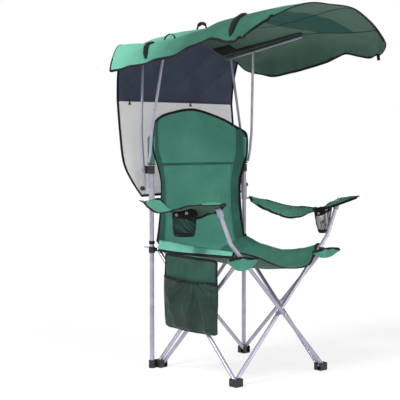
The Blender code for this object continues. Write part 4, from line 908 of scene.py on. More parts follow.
def handle(sheet):
    """The carrying handle: a webbing loop with a padded grip round its upper part."""
    low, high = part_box("canopy_handle")
    x, half = (low.x + high.x) / 2, (high.y - low.y) / 2 - 0.0045
    y = (low.y + high.y) / 2
    base = height_on(sheet, x, y)
    points = []
    steps = 32
    for i in range(steps + 1):
        angle = math.pi * i / steps
        points.append(Vector((x, y + half * math.cos(angle), base + HANDLE_RISE * math.sin(angle))))
    out = [Vector((0, math.cos(math.pi * i / steps), math.sin(math.pi * i / steps)))
           for i in range(steps + 1)]
    frames = frames_from(points, out)
    webbing = sweep("handle_webbing", frames, tape_section(0.0085, 0.0024), WEBBING)
    grip_frames = frames[6:-6]
    scales = [between(STRAP_END_SHARES, i / (len(grip_frames) - 1)) for i in range(len(grip_frames))]
    grip = sweep("handle_grip", grip_frames,
                 [(a * 0.0080, b * 0.0062) for a, b in crowned_outline(14)], WEBBING, scales=scales)
    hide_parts("canopy_handle")
    on_canopy(webbing, grip)


# Rear shade

SHADE_PANEL_SHARES = ((0.0, 0.70, 1.0, 0.0), (0.5, 0.93, 1.0, 0.0), (1.0, 1.0, 0.99, 0.0))
SHADE_MESH_SHARES = (
    (0.0, 1.0, 0.99, 0.0),
    (0.35, 0.86, 0.99, 0.0),
    (0.65, 0.66, 0.99, 0.0),
    (0.84, 0.34, 0.95, 0.7),
    (1.0, 0.0, 0.885, 1.0),
)
SHADE_ACROSS_DRAPE_SHARES = (0.0, 0.45, 0.9, 1.0, 0.9, 0.45, 0.0)


def shade_net(rows, tops, bottom):
    """Rows of points under the canopy's own columns, which the top hem follows."""
    net = []
    for down, back, width, drape in rows:
        row = []
        for column, top in enumerate(tops):
            across = CANOPY_ACROSS_SHARES[column + 1] / CANOPY_ACROSS_SHARES[-2]
            y = SHADE_POST_Y + (SHADE_BACK_Y - SHADE_POST_Y) * back
            y += SHADE_ACROSS_DRAPE_SHARES[column] * drape * SHADE_DRAPE
            row.append(Vector((across * width * SHADE_HALF_WIDTH, FRAME_Y + y,
                               top + (bottom - top) * down)))
        net.append(row)
    return net


def panel_ripple(u, v):
    """Long upright folds that fade out at the hems."""
    wander = ripple_noise(u * 2.0, v * 1.5, 2.2) * 0.12
    folds = ripple_noise((u + wander) * 9.0, v * 0.8, 5.9)
    creases = crease_noise(u * 5.0 + v * 2.0, v * 1.6, 9.1) * 0.35
    return (folds + creases) * SHADE_FOLD * smooth(v / 0.25) * smooth((1 - v) / 0.35) * edge_fade(u)


def edge_fade(u, width=0.06):
    """0 at a sheet's two side edges, rising to 1 inside them."""
    return smooth(min(u, 1 - u) / width)


def build_shade():
    """The dark panel behind the sitter's head and the pale net below it."""
    hem_y = FRAME_Y + SHADE_POST_Y + (SHADE_BACK_Y - SHADE_POST_Y) * SHADE_PANEL_SHARES[0][1]
    tops = [canopy_height(column / 8, hem_y) - SHADE_TOP_GAP for column in range(1, 8)]
    net = shade_net(SHADE_PANEL_SHARES, tops, SHADE_SEAM_HEIGHT)
    panel = Sheet(lambda u, v: net_point(net, u, v), 90, 44, (0, -1, 0), panel_ripple)
    mesh_net = shade_net(SHADE_MESH_SHARES, [SHADE_SEAM_HEIGHT] * len(tops), SHADE_BOTTOM_HEIGHT)
    lower = Sheet(lambda u, v: net_point(mesh_net, u, v), 84, 60, (0, -1, 0),
                  lambda u, v: ripple_noise(u * 3, v * 3, 6.6) * 0.003 * edge_fade(u) * smooth(v / 0.1))
    cloth = panel.build("shade_cloth", [(SLATE, SLATE)])
    net_cloth = lower.build("shade_net_cloth", [(PALE_NET, PALE_NET)], thickness=0.0010)
    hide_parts("shade_panel")
    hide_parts("shade_mesh")
    on_canopy(cloth, finish="slate_cloth")
    on_canopy(net_cloth, finish="pale_mesh")
    panel_trims = bind(panel, "shade_binding_left", "1") + bind(panel, "shade_binding_right", "3")
    net_trims = bind(lower, "net_binding", "123")
    frames = frames_on(panel, line_places((0.0, 0.985), (1.0, 0.985), 60))
    net_trims += [sweep("shade_seam", frames, tape_section(0.010, 0.0028), SLATE)]
    net_trims += [stitches("shade_seam_stitches", [(frames, 0.002, 0.0016), (frames, -0.002, 0.0016)],
                           BLACK_THREAD)]
    on_canopy(*panel_trims, *net_trims)
    for index, x in enumerate(HOOK_PLACES):
        roll_up_hook(panel, index, 0.5 + x / (2 * SHADE_HALF_WIDTH))


def roll_up_hook(panel, index, share):
    """A small black toggle hanging on a tab from the shade's seam, to tie the net up."""
    point, normal = panel.at(share, 0.99)
    front = point + normal * 0.003
    outline = [(-0.002, 0.004), (0.002, 0.004), (0.002, -0.006), (0.0075, -0.016), (0.005, -0.018),
               (0.0, -0.012), (-0.005, -0.018), (-0.0075, -0.016), (-0.002, -0.006)]
    points = []
    for depth in (-0.0015, 0.0015):
        points += [front + Vector((x, -depth, z)) for x, z in outline]
    size = len(outline)
    faces = [list(range(size)), [size + i for i in reversed(range(size))]]
    faces += [[i, size + i, size + (i + 1) % size, (i + 1) % size] for i in range(size)]
    hook = add_mesh(f"shade_hook_{index}", points, faces, [PLASTIC])
    hook.data.shade_flat()
    on_canopy(hook, finish="black_plastic")


# Backrest

BACK_HEIGHT_SHARES = (0.0, 0.16, 0.34, 0.50, 0.64, 0.76, 0.88, 1.0)
BACK_WIDTH_SHARES = (0.95, 0.90, 0.865, 0.86, 0.925, 1.01, 1.03, 1.02)
BACK_ACROSS_SHARES = (-1.0, -0.80, -0.55, 0.0, 0.55, 0.80, 1.0)
BACK_EDGE_RISE_SHARES = (0.36, 0.62, 0.82, 1.0, 0.66, 0.36, 0.05)
BACK_BULGE_SHARES = (0.10, 0.50, 0.72, 0.84, 0.92, 0.97, 1.0, 1.0)
BACK_ACROSS_BULGE_SHARES = (0.0, 0.50, 0.76, 1.0, 0.76, 0.50, 0.0)
BACK_CORNER_SHARES = (0.055, 0.090)
BACK_FOLD_WAY = Fold((1, 0, 0), (-POST_X, 0, 0), 1 - FOLD_TRAVEL / (2 * POST_X))


def back_net():
    """The backrest's surface, as rows of points from bottom to top."""
    net = []
    front = POST_Y - POST_RADIUS - BACK_FRONT_GAP
    for height, width, bulge in zip(BACK_HEIGHT_SHARES, BACK_WIDTH_SHARES, BACK_BULGE_SHARES):
        row = []
        for across, rise, aside in zip(BACK_ACROSS_SHARES, BACK_EDGE_RISE_SHARES,
                                       BACK_ACROSS_BULGE_SHARES):
            top = BACK_CORNER_HEIGHT + rise * (BACK_PEAK_HEIGHT - BACK_CORNER_HEIGHT)
            low = BACK_BOTTOM_HEIGHT - aside * BACK_BOTTOM_SAG
            z = low + (top - low) * height
            y = front + bulge * aside * BACK_BULGE
            row.append(Vector((across * width * POST_X, y, z)))
        net.append(row)
    return net


def back_place(u, v):
    """Rounds the two top corners."""
    over = max(0.0, v - 1 + BACK_CORNER_SHARES[1]) / BACK_CORNER_SHARES[1]
    draw = BACK_CORNER_SHARES[0] * (1 - math.sqrt(1 - over * over))
    return draw + u * (1 - 2 * draw), v


def back_ripple(u, v):
    """Faint pulls beside the seams and soft folds low down where the cloth is slack."""
    slack = smooth((0.62 - v) / 0.5)
    pulls = ripple_noise(u * 26.0, v * 2.0, 3.3) * 0.0005
    folds = ripple_noise(u * 5.0 + v * 2.0, v * 3.0 + u * 1.5, 7.7) * BACK_FOLD
    creases = crease_noise(u * 5.0 - v * 3.5, v * 4.5 + u * 3.0, 1.1) * 0.0055
    return -abs(folds + creases) * (0.25 + 0.75 * slack) * edge_fade(u) + pulls * edge_fade(u)


def build_back():
    """The backrest's cloth with its side bands, seams and pockets."""
    net = back_net()
    band = BACK_BAND_SHARE
    sheet = Sheet(lambda u, v: net_point(net, *back_place(u, v)), 84, 104, (0, -1, 0), back_ripple)
    # The side bands are painted darker than the middle, a painted shade.
    cloth = sheet.build("back_cloth", [(GREEN, GREEN_UNDER), (GREEN_PAINTED_SHADE, GREEN_UNDER)],
                        zone=lambda u, v: int(abs(u - 0.5) > 0.5 - band))
    trims = bind(sheet, "back_binding", "123")
    level = [(0.03 + 0.84 * i / 50, share_at_height(sheet, 0.03 + 0.84 * i / 50, BACK_SEAM_HEIGHT))
             for i in range(51)]
    trims += seam(sheet, "back_seam", level, GREEN_PAINTED_SHADE, width=0.010)
    for word, share in (("right", band), ("left", 1 - band)):
        trims += seam(sheet, f"back_band_{word}", line_places((share, 0.01), (share, 0.985), 70),
                      GREEN, width=0.006)
    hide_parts("backrest")
    settle(cloth, "right_post", BACK_FOLD_WAY, "green_cloth")
    settle_all(trims, "right_post", BACK_FOLD_WAY, "black_webbing")
    for side in (RIGHT, LEFT):
        back_pocket(side)
    return sheet


def share_at_height(sheet, u, height):
    """How far along the sheet the given height is reached, at a share across."""
    return share_where(lambda v: sheet.at(u, v)[0].z >= height, 1.0, 20)


POCKET_HEIGHT = 0.112
POCKET_OUTER = 0.0148
POCKET_CLEARANCE = 0.0016
POCKET_MOUTH_RADIUS = 0.0135
POCKET_PIPING_RADIUS = 0.0136
POCKET_PIPING_TURN = 0.5
POCKET_PIPING_STEPS = 16


def back_pocket(side):
    """The cloth pocket at a top corner of the backrest, pulled down over the post."""
    word = SIDE_WORDS[side]
    centre = Vector((side * POST_X, POST_Y, 0))
    high = POST_TOP + 0.005
    rings, sides = 26, 22
    points, faces, uvs = [], [], []
    for j in range(rings + 1):
        t = j / rings
        z = high - POCKET_HEIGHT * (1 - t)
        dome = 1 - smooth((t - 0.93) / 0.07) * 0.55
        for i in range(sides):
            angle = math.tau * i / sides
            ridge = ripple_noise(math.cos(angle) * 2.2 + side, math.sin(angle) * 2.2 + z * 9, 3.0)
            radius = (POCKET_OUTER - 0.0018 + ridge * 0.0016) * dome
            radius = max(radius, (POST_RADIUS + POCKET_CLEARANCE) * (1 if t < 0.95 else 0.4))
            points.append(centre + Vector((radius * math.cos(angle), radius * math.sin(angle), z)))
    for j in range(rings):
        for i in range(sides):
            k = (i + 1) % sides
            faces.append([j * sides + i, j * sides + k, (j + 1) * sides + k, (j + 1) * sides + i])
            uvs += [(s * 0.004, t * 0.0043) for s, t in ((i, j), (i + 1, j), (i + 1, j + 1), (i, j + 1))]
    faces.append([rings * sides + i for i in range(sides)])
    uvs += [(i * 0.004, rings * 0.0043) for i in range(sides)]
    pocket = add_mesh(f"back_pocket_cloth_{word}", points, faces, [GREEN], uvs)
    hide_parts(f"back_pocket_{word}")
    body = f"{word}_post"
    settle(pocket, body, finish="green_cloth")
    mouth = [centre + Vector((x, y, high - POCKET_HEIGHT))
             for x, y in round_section(POCKET_MOUTH_RADIUS, 24)]
    frames = [(p, Vector((0, 0, 1)), (p - centre).normalized()) for p in mouth]
    ring = sweep(f"back_pocket_mouth_{word}", frames, tape_section(0.0024, 0.008), TAPE, closed=True)
    settle(ring, body, finish="black_webbing")
    spot = Vector((side * POCKET_PIPING_RADIUS * math.cos(POCKET_PIPING_TURN),
                   POCKET_PIPING_RADIUS * math.sin(POCKET_PIPING_TURN), high - POCKET_HEIGHT))
    edge = [centre + spot + Vector((0, 0, (POCKET_HEIGHT - 0.008) * i / POCKET_PIPING_STEPS))
            for i in range(POCKET_PIPING_STEPS + 1)]
    piping = sweep(f"back_pocket_piping_{word}", frames_from(edge, [Vector((0, 1, 0))] * len(edge)),
                   round_section(0.0018), TAPE)
    settle(piping, body, finish="black_webbing")


# Seat

SEAT_ACROSS_SHARES = (-1.0, -0.97, -0.90, -0.80, -0.55, 0.0, 0.55, 0.80, 0.90, 0.97, 1.0)
SEAT_FORWARD_SHARES = (
    (-0.85, -0.86, -0.935, -0.92, -0.91, -0.91, -0.91, -0.92, -0.935, -0.86, -0.85),
    (-0.46,) * 11,
    (0.0,) * 11,
    (0.46, 0.46, 0.46, 0.46, 0.46, 0.46, 0.46, 0.46, 0.45, 0.44, 0.44),
    (0.92, 0.92, 0.93, 0.94, 0.985, 1.0, 0.97, 0.88, 0.815, 0.815, 0.81),
)
SEAT_SAG_SHARES = (
    (0.22, -0.10, -0.11, -0.04, 0.24, 0.58, 0.24, 0.02, 0.0, -0.02, 0.20),
    (0.24, -0.09, -0.08, 0.06, 0.34, 0.70, 0.58, 0.30, 0.23, 0.20, 0.27),
    (0.23, -0.06, -0.04, 0.08, 0.34, 0.72, 0.66, 0.44, 0.36, 0.33, 0.38),
    (0.20, -0.02, 0.02, 0.10, 0.38, 0.74, 0.62, 0.32, 0.23, 0.20, 0.26),
    (0.17, 0.0, 0.0, 0.04, 0.20, 0.62, 0.64, 0.22, 0.0, 0.0, 0.17),
)
SEAT_FOLD_WAY = Fold((1, 0, 0), (-SEAT_HALF_WIDTH, 0, 0), 1 - FOLD_TRAVEL / (2 * POST_X))


def seat_net():
    """The seat's surface, as rows of points from rear to front."""
    net = []
    for forwards, sags in zip(SEAT_FORWARD_SHARES, SEAT_SAG_SHARES):
        row = [Vector((across * SEAT_HALF_WIDTH, FRAME_Y - forward * SEAT_DEPTH,
                       SEAT_HEIGHT - sag * SEAT_SAG))
               for across, forward, sag in zip(SEAT_ACROSS_SHARES, forwards, sags)]
        net.append(row)
    return net


def seat_ripple(u, v):
    """Folds that run from the four corners towards the sagging middle."""
    x, y = u - 0.5, v - 0.5
    angle = math.atan2(y, x)
    reach = math.hypot(x, y)
    rays = ripple_noise(math.cos(angle) * 3.2, math.sin(angle) * 3.2, 4.1 + reach)
    creases = crease_noise(u * 4.0 + v * 4.0, v * 3.0 - u * 3.0, 2.5)
    free = smooth(min(u, 1 - u) / 0.16) * smooth(min(v, 1 - v) / 0.10)
    return (rays * smooth(reach / 0.3) + creases * 0.8 - 0.4) * SEAT_FOLD * free


def build_seat():
    """The seat's cloth in two halves, which turn on their own tubes, and its flaps."""
    net = seat_net()
    halves = (("rear", 0.0, 0.5, ("1", "3"), "rear_seat"),
              ("front", 0.5, 1.0, ("123",), "front_seat"))
    for word, start, end, bound, body in halves:
        sheet = Sheet(lambda u, v, a=start, b=end: net_point(net, u, a + (b - a) * v), 100, 40,
                      (0, 0, 1), lambda u, v, a=start, b=end: seat_ripple(u, a + (b - a) * v))
        # The seat's middle gets painted shade and its side strips painted light.
        cloth = sheet.build(f"seat_cloth_{word}", [(GREEN_SEAT_PAINTED_SHADE, GREEN_UNDER), (GREEN_STRIP_PAINTED_LIGHT, GREEN_UNDER)],
                            zone=lambda u, v: int(abs(u - 0.5) > 0.5 - SEAT_STRIP_SHARE))
        trims = []
        for sides in bound:
            trims += bind(sheet, f"seat_binding_{word}_{sides}", sides)
        for name, share in (("right", SEAT_STRIP_SHARE), ("left", 1 - SEAT_STRIP_SHARE)):
            trims += seam(sheet, f"seat_seam_{word}_{name}",
                          line_places((share, 0.0), (share, 1.0), 30), GREEN, width=0.006)
        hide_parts(f"seat_{word}")
        settle(cloth, body, SEAT_FOLD_WAY, "green_cloth")
        settle_all(trims, body, SEAT_FOLD_WAY, "black_webbing")
    for side in (RIGHT, LEFT):
        seat_flap(side)


FLAP_ACROSS_SHARES = ((-0.9, -0.4, 0.2, 0.9), (-1.0, -0.4, 0.3, 0.8), (-0.75, -0.4, 0.1, 0.5))
FLAP_DROP_SHARES = ((0.12, 0.0, 0.08, 0.20), (0.35, 0.50, 0.55, 0.50), (0.60, 0.95, 1.0, 0.80))
FLAP_REACHES = {RIGHT: (0.078, 0.080), LEFT: (0.100, 0.067)}
FLAP_DEPTHS = {RIGHT: 0.049, LEFT: 0.036}
FLAP_HEIGHT = 0.467
FLAP_FACE_GAP = 0.0012
FLAP_FOLD_KEEP = 0.45
PIVOT_HALF = 0.217


def seat_flap(side):
    """The corner of the seat's cloth that wraps a front hub and hangs before it."""
    word = SIDE_WORDS[side]
    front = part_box(f"seat_flap_{word}")[1].y - FLAP_FACE_GAP
    net = []
    for acrosses, drops in zip(FLAP_ACROSS_SHARES, FLAP_DROP_SHARES):
        row = []
        for across, drop in zip(acrosses, drops):
            reach = FLAP_REACHES[side][across > 0]
            row.append(Vector((side * (PIVOT_HALF - across * reach), front - drop ** 2 * 0.003,
                               FLAP_HEIGHT - drop * FLAP_DEPTHS[side])))
        net.append(row)

    def ripple(u, v):
        pleat = 1 - abs(2 * smooth((u - 0.30) / 0.4) - 1)
        return pleat * 0.006 * smooth(v / 0.3) + ripple_noise(u * 4, v * 3, side * 3.3) * 0.0015

    sheet = Sheet(lambda u, v: net_point(net, u, v), 36, 22, (0, -1, 0), ripple)
    cloth = sheet.build(f"seat_flap_cloth_{word}", [(GREEN, GREEN_UNDER)])
    trims = bind(sheet, f"seat_flap_binding_{word}", "0")
    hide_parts(f"seat_flap_{word}")
    fold = Fold((1, 0, 0), (side * PIVOT_HALF, 0, 0), FLAP_FOLD_KEEP)
    body = f"{word}_hub"
    settle(cloth, body, fold, "green_cloth")
    settle_all(trims, body, fold, "black_webbing")


# Armrests and cup holders

# Each row: share along, inner and outer hems' widths, then the drops of the
# inner hem, the middle and the outer hem below the line from post to tip.
ARM_ROW_SHARES = {
    RIGHT: (
        (0.0, 0.10, 0.11, -0.10, 0.0, -0.05),
        (0.10, 0.24, 0.30, -0.20, 0.0, 0.11),
        (0.20, 0.36, 0.47, 0.63, 0.42, 0.47),
        (0.32, 0.46, 0.56, 1.22, 0.72, 0.78),
        (0.45, 0.50, 0.61, 1.44, 0.80, 0.76),
        (0.58, 0.50, 0.60, 1.29, 0.62, 0.58),
        (0.70, 0.46, 0.50, 0.96, 0.30, 0.25),
        (0.84, 0.34, 0.34, 0.76, 0.05, 0.13),
        (1.0, 0.08, 0.08, 0.10, 0.0, 0.13),
    ),
    LEFT: (
        (0.0, 0.10, 0.16, 0.40, 0.0, 0.10),
        (0.10, 0.24, 0.34, 0.80, 0.45, 0.31),
        (0.20, 0.36, 0.47, 1.15, 0.85, 0.61),
        (0.32, 0.46, 0.56, 1.50, 1.15, 0.98),
        (0.45, 0.50, 0.61, 1.85, 1.35, 1.01),
        (0.58, 0.52, 0.60, 1.75, 1.25, 1.08),
        (0.70, 0.52, 0.50, 1.30, 0.85, 0.72),
        (0.84, 0.36, 0.34, 0.88, 0.20, 0.14),
        (1.0, 0.08, 0.08, 0.16, 0.0, -0.04),
    ),
}
CUP_HOLE_RADII = {RIGHT: 0.046, LEFT: 0.038}
CUP_DEPTHS = {RIGHT: 0.0, LEFT: 0.030}
# An armrest runs between a post and an arm tube's cap. As these close in, its
# cloth gathers along the line between them, down to this share of its length.
ARM_FOLDS = {
    RIGHT: Fold((-0.0515, -0.4663, -0.005), (-0.2755, 0.32984, 0.645), 0.5587),
    LEFT: Fold((0.0515, -0.4397, -0.005), (0.2755, 0.32984, 0.645), 0.5535),
}


def arm_net(side):
    """An armrest's surface, as rows of points from inner to outer hem."""
    rear = Vector((side * (POST_X + ARM_REAR_OUT), POST_Y, ARM_REAR_HEIGHT))
    tip = Vector((side * ARM_TIP[0], FRAME_Y + ARM_TIP[1], ARM_TIP[2]))
    rows = []
    for along, inner, outer, inner_drop, middle_drop, outer_drop in ARM_ROW_SHARES[side]:
        line = rear + (tip - rear) * along
        skew = Vector((0, ARM_REAR_SKEW * (1 - along) ** 4, 0))
        in_by = Vector((-side * ARM_CLOTH_WIDTH * inner, 0, 0))
        out_by = Vector((side * ARM_CLOTH_WIDTH * outer, 0, 0))
        down = Vector((0, 0, -ARM_CLOTH_DROP))
        half_in = middle_drop + (inner_drop - middle_drop) * ARM_HALF_DROP_SHARE
        half_out = middle_drop + (outer_drop - middle_drop) * ARM_HALF_DROP_SHARE
        rows.append([
            line + in_by + down * inner_drop - skew,
            line + in_by * 0.55 + down * half_in - skew / 2,
            line + down * middle_drop,
            line + out_by * 0.55 + down * half_out + skew / 2,
            line + out_by + down * outer_drop + skew,
        ])
    return rows


def build_arm(side):
    """An armrest's cloth with its binding and its cup holder."""
    word = SIDE_WORDS[side]
    net = arm_net(side)

    def ripple(u, v):
        waves = ripple_noise(u * 3.0, v * 6.0, 2.0 + side) * 0.0035
        creases = crease_noise(u * 3.0 + v * 2.0, v * 7.0, 6.0 + side) * 0.0030
        return (waves + creases) * smooth(v / 0.08) * smooth((1 - v) / 0.10)

    sheet = Sheet(lambda u, v: net_point(net, u, v), 40, 110, (0, 0, 1), ripple)
    cloth = sheet.build(f"armrest_cloth_{word}", [(GREEN, GREEN_UNDER)])
    trims = bind(sheet, f"armrest_binding_{word}")
    low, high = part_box(f"cup_holder_{word}")
    centre = (low + high) / 2
    hole_radius = CUP_HOLE_RADII[side]
    cut_round_hole(cloth, centre, hole_radius)
    fold = ARM_FOLDS[side]
    body = f"{word}_armrest"
    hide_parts(f"armrest_{word}")
    rim = cup_rim(sheet, word, centre, hole_radius)
    settle(cloth, body, fold, "green_cloth")
    settle_all(trims + rim, body, fold, "black_webbing")
    cup_bag(side, sheet, centre, hole_radius)


def cut_round_hole(cloth, centre, radius):
    """Cuts an upright round hole through a cloth."""
    rings = []
    sides = 40
    for z in (-0.2, 0.2):
        rings += [(centre.x + radius * math.cos(math.tau * i / sides),
                   centre.y + radius * math.sin(math.tau * i / sides), centre.z + z)
                  for i in range(sides)]
    faces = [[i, (i + 1) % sides, sides + (i + 1) % sides, sides + i] for i in range(sides)]
    faces += [list(range(sides))[::-1], list(range(sides, 2 * sides))]
    cutter = add_mesh("hole_cutter", rings, faces, [])
    modifier = cloth.modifiers.new("hole", "BOOLEAN")
    modifier.operation = "DIFFERENCE"
    modifier.object = cutter
    apply_modifiers(cloth)
    bpy.data.objects.remove(cutter)


def apply_modifiers(made):
    """Replaces an object's mesh with the one that its modifiers give."""
    bpy.context.view_layer.update()
    evaluated = made.evaluated_get(bpy.context.evaluated_depsgraph_get())
    mesh = bpy.data.meshes.new_from_object(evaluated)
    made.modifiers.clear()
    made.data = mesh


def height_on(sheet, x, y):
    """The height of a sheet above a place on the floor plan."""
    flat = sheet.points.reshape(-1, 3)
    distance = (flat[:, 0] - x) ** 2 + (flat[:, 1] - y) ** 2
    nearest = np.argsort(distance)[:4]
    weight = 1 / (distance[nearest] + 1e-9)
    return float((flat[nearest, 2] * weight).sum() / weight.sum())


def cup_rim(sheet, word, centre, radius):
    """The bound edge of the cup holder's hole, which follows the armrest's cloth."""
    count = 48
    frames = []
    for i in range(count):
        angle = math.tau * i / count
        out = Vector((math.cos(angle), math.sin(angle), 0))
        spot = Vector((centre.x, centre.y, 0)) + out * radius
        spot.z = height_on(sheet, spot.x, spot.y)
        frames.append((spot, Vector((0, 0, 1)), out))
    tape = sweep(f"cup_rim_{word}", frames, tape_section(0.008, 0.0036), TAPE, closed=True)
    sewn = stitches(f"cup_rim_{word}_stitches", [(frames + frames[:1], 0.0015, 0.002)], BLACK_THREAD)
    return [tape, sewn]


# The cup holders' outlines from rim to bottom: height share, radius share and
# how slack the net is there. The left one is empty and hangs in.
CUP_ROW_SHARES = {
    RIGHT: ((0.0, 0.97, 0.0), (0.25, 0.96, 0.1), (0.6, 0.93, 0.5), (0.88, 0.86, 0.6), (1.0, 0.76, 0.2)),
    LEFT: ((0.0, 0.97, 0.0), (0.25, 0.88, 0.4), (0.6, 0.74, 1.0), (0.88, 0.56, 1.0), (1.0, 0.42, 0.4)),
}
CUP_COLLAR_SHARE = 0.24
CUP_BASE_SHARE = 0.90
CUP_RINGS, CUP_SIDES = 36, 56
CUP_SKIN = 0.0008
EYELET_ANGLES = (192, 240)
EYELET_DROP = 0.013
EYELET_RADIUS = 0.0040


def cup_points(side, sheet, centre, radius, floor):
    """The cup's outer and inner skins, as rings from the hem of its hole to its floor."""
    ways = [Vector((math.cos(math.tau * i / CUP_SIDES), math.sin(math.tau * i / CUP_SIDES), 0))
            for i in range(CUP_SIDES)]
    tops = [height_on(sheet, centre.x + way.x * radius, centre.y + way.y * radius) - 0.001
            for way in ways]
    points = []
    for level in (0, 1):
        bottom = floor + level * CUP_SKIN
        for j in range(CUP_RINGS + 1):
            t = j / CUP_RINGS
            width, slack = between(CUP_ROW_SHARES[side], t)
            for way, top in zip(ways, tops):
                wave = ripple_noise(way.x * 1.6, way.y * 1.6, t * 2 + side)
                reach = radius * (width + wave * 0.10 * slack) - level * CUP_SKIN
                z = top + (bottom - top) * t + wave * 0.003 * slack
                points.append(Vector((centre.x, centre.y, z)) + way * reach)
    return points


def cup_faces(radius, tall):
    """The faces of both skins, their places on the net, and which of them are solid cloth."""
    faces, uvs, indices = [], [], []
    sides = CUP_SIDES
    count = (CUP_RINGS + 1) * sides
    for level in (0, 1):
        for j in range(CUP_RINGS):
            t = (j + 0.5) / CUP_RINGS
            solid = int(t < CUP_COLLAR_SHARE or t > CUP_BASE_SHARE)
            for i in range(sides):
                places = [(i, j), (i, j + 1), (i + 1, j + 1), (i + 1, j)]
                if level:
                    places.reverse()
                faces.append([level * count + b * sides + a % sides for a, b in places])
                uvs += [(math.tau * radius * a / sides, tall * b / CUP_RINGS) for a, b in places]
                indices.append(solid)
        bottom = [level * count + CUP_RINGS * sides + i for i in range(sides)]
        faces.append(bottom if level else bottom[::-1])
        uvs += [(radius * x, radius * y) for x, y in round_section(1.0, sides)]
        indices.append(1)
    for i in range(sides):
        k = (i + 1) % sides
        faces.append([i, k, count + k, count + i])
        uvs += [(0.0, 0.0)] * 4
        indices.append(1)
    return faces, uvs, indices


def cup_bag(side, sheet, centre, radius):
    """A net cup hung in the armrest, with a collar of black cloth and a solid base."""
    word = SIDE_WORDS[side]
    low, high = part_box(f"cup_holder_{word}")
    points = cup_points(side, sheet, centre, radius, low.z - CUP_DEPTHS[side] + 0.002)
    faces, uvs, indices = cup_faces(radius, high.z - low.z)
    bag = add_mesh(f"cup_net_{word}", points, faces, [BLACK_NET, TAPE], uvs, indices)
    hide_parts(f"cup_holder_{word}")
    settle(bag, f"{word}_armrest", ARM_FOLDS[side], "black_mesh")
    for index, degrees in enumerate(EYELET_ANGLES):
        eyelet(side, index, sheet, centre, radius, math.radians(degrees))


def eyelet(side, index, sheet, centre, radius, angle):
    """A small metal eyelet on the collar of a cup holder."""
    word = SIDE_WORDS[side]
    out = Vector((math.cos(angle), math.sin(angle), 0))
    hem = height_on(sheet, centre.x + radius * math.cos(angle), centre.y + radius * math.sin(angle))
    spot = Vector((centre.x, centre.y, hem - EYELET_DROP)) + out * (radius * 0.97 + 0.0006)
    around = out.cross(Vector((0, 0, 1)))
    frames = []
    for x, y in round_section(1.0, 20):
        way = around * x + Vector((0, 0, 1)) * y
        frames.append((spot + way * EYELET_RADIUS, out, way))
    ring = sweep(f"cup_eyelet_{word}_{index}", frames, tape_section(0.0026, 0.0016), ZINC, closed=True)
    settle(ring, f"{word}_armrest", ARM_FOLDS[side], "zinc_steel")


# Side bag

BAG_POCKET_SHARE = 0.30
BAG_FOLD_KEEP = 0.33
BAG_WRINKLE = 0.0125


def bag_outline(front_share, down):
    """A place on the bag's outline: y from rear to front, and z from top to bottom."""
    low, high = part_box("side_bag")
    belly = 0.008 + 0.006 * math.sin(math.pi * down) ** 2
    rear = high.y + belly - 0.002 - 0.004 * smooth((down - 0.85) / 0.15)
    front = low.y + 0.004 + 0.002 * math.sin(math.tau * down * 1.5)
    y = rear + (front - rear) * front_share
    hem = high.z - 0.006 * front_share
    bottom = low.z + 0.004 - 0.004 * math.sin(math.pi * front_share)
    return y, hem + (bottom - hem) * down


def build_bag():
    """The bag beside the seat: a back panel, and a slack pocket sewn on with an elastic mouth."""
    low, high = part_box("side_bag")
    inner_x = high.x - 0.0012
    depth = high.x - low.x

    def back_surface(u, v):
        u, v = rounded(u, v, 0.05, 0.03)
        y, z = bag_outline(u, v)
        return Vector((inner_x - 0.0008, y, z))

    def back_ripple_at(u, v):
        crease = crease_noise(u * 3.0 + v * 2.0, v * 2.0 - u, 3.9) * 0.0030
        slack = max(0.0, ripple_noise(u * 4, v * 4, 1.9)) * 0.003
        return (crease + slack) * edge_fade(u) * smooth(v / 0.1)

    back = Sheet(back_surface, 60, 64, (-1, 0, 0), back_ripple_at)
    apex_u, apex_v = 0.56, 0.0

    def pocket_surface(u, v):
        y, z = bag_outline(*rounded(u, BAG_POCKET_SHARE + (1 - BAG_POCKET_SHARE) * v, 0.05, 0.03))
        dip = 0.016 * math.sin(math.pi * u) * (1 - v) * 0.4
        across = math.sin(math.pi * u) ** 0.5
        down = math.sin(math.pi * min(1, 0.16 + v * 0.84)) ** 0.6
        return Vector((inner_x - 0.0035 - (depth - 0.0065) * across * down, y, z - dip))

    def pocket_ripple(u, v):
        angle = math.atan2(v - apex_v + 0.05, u - apex_u)
        reach = math.hypot(v - apex_v, u - apex_u)
        rays = ripple_noise(angle * 4.2, reach * 0.8, 5.2) + crease_noise(angle * 2.4, reach, 7.1)
        gathers = math.sin(u * 70) * 0.0006 * smooth((0.12 - v) / 0.12)
        wrinkles = rays * BAG_WRINKLE * smooth(reach / 0.25)
        return (wrinkles + gathers) * edge_fade(u, 0.12) * smooth((1 - v) / 0.1)

    pocket = Sheet(pocket_surface, 60, 52, (-1, 0, 0), pocket_ripple)
    fold = Fold((0, 1, 0), (0, high.y, 0), BAG_FOLD_KEEP)
    # The bag's panel and its pocket are painted darker, a painted shade.
    panel = back.build("side_bag_panel", [(GREEN_BAG_PAINTED_SHADE, GREEN_UNDER)])
    front = pocket.build("side_bag_pocket", [(GREEN_POCKET_PAINTED_SHADE, GREEN_UNDER)])
    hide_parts("side_bag")
    trims = bind(back, "side_bag_binding") + bind(pocket, "side_bag_elastic", "0", width=0.012)
    settle(panel, "right_slider", fold, "green_cloth")
    settle(front, "right_slider", fold, "green_cloth")
    settle_all(trims, "right_slider", fold, "black_webbing")


# Small straps on the frame

WRAP_THICKNESS = 0.0022
WRAP_GAP = 0.0002

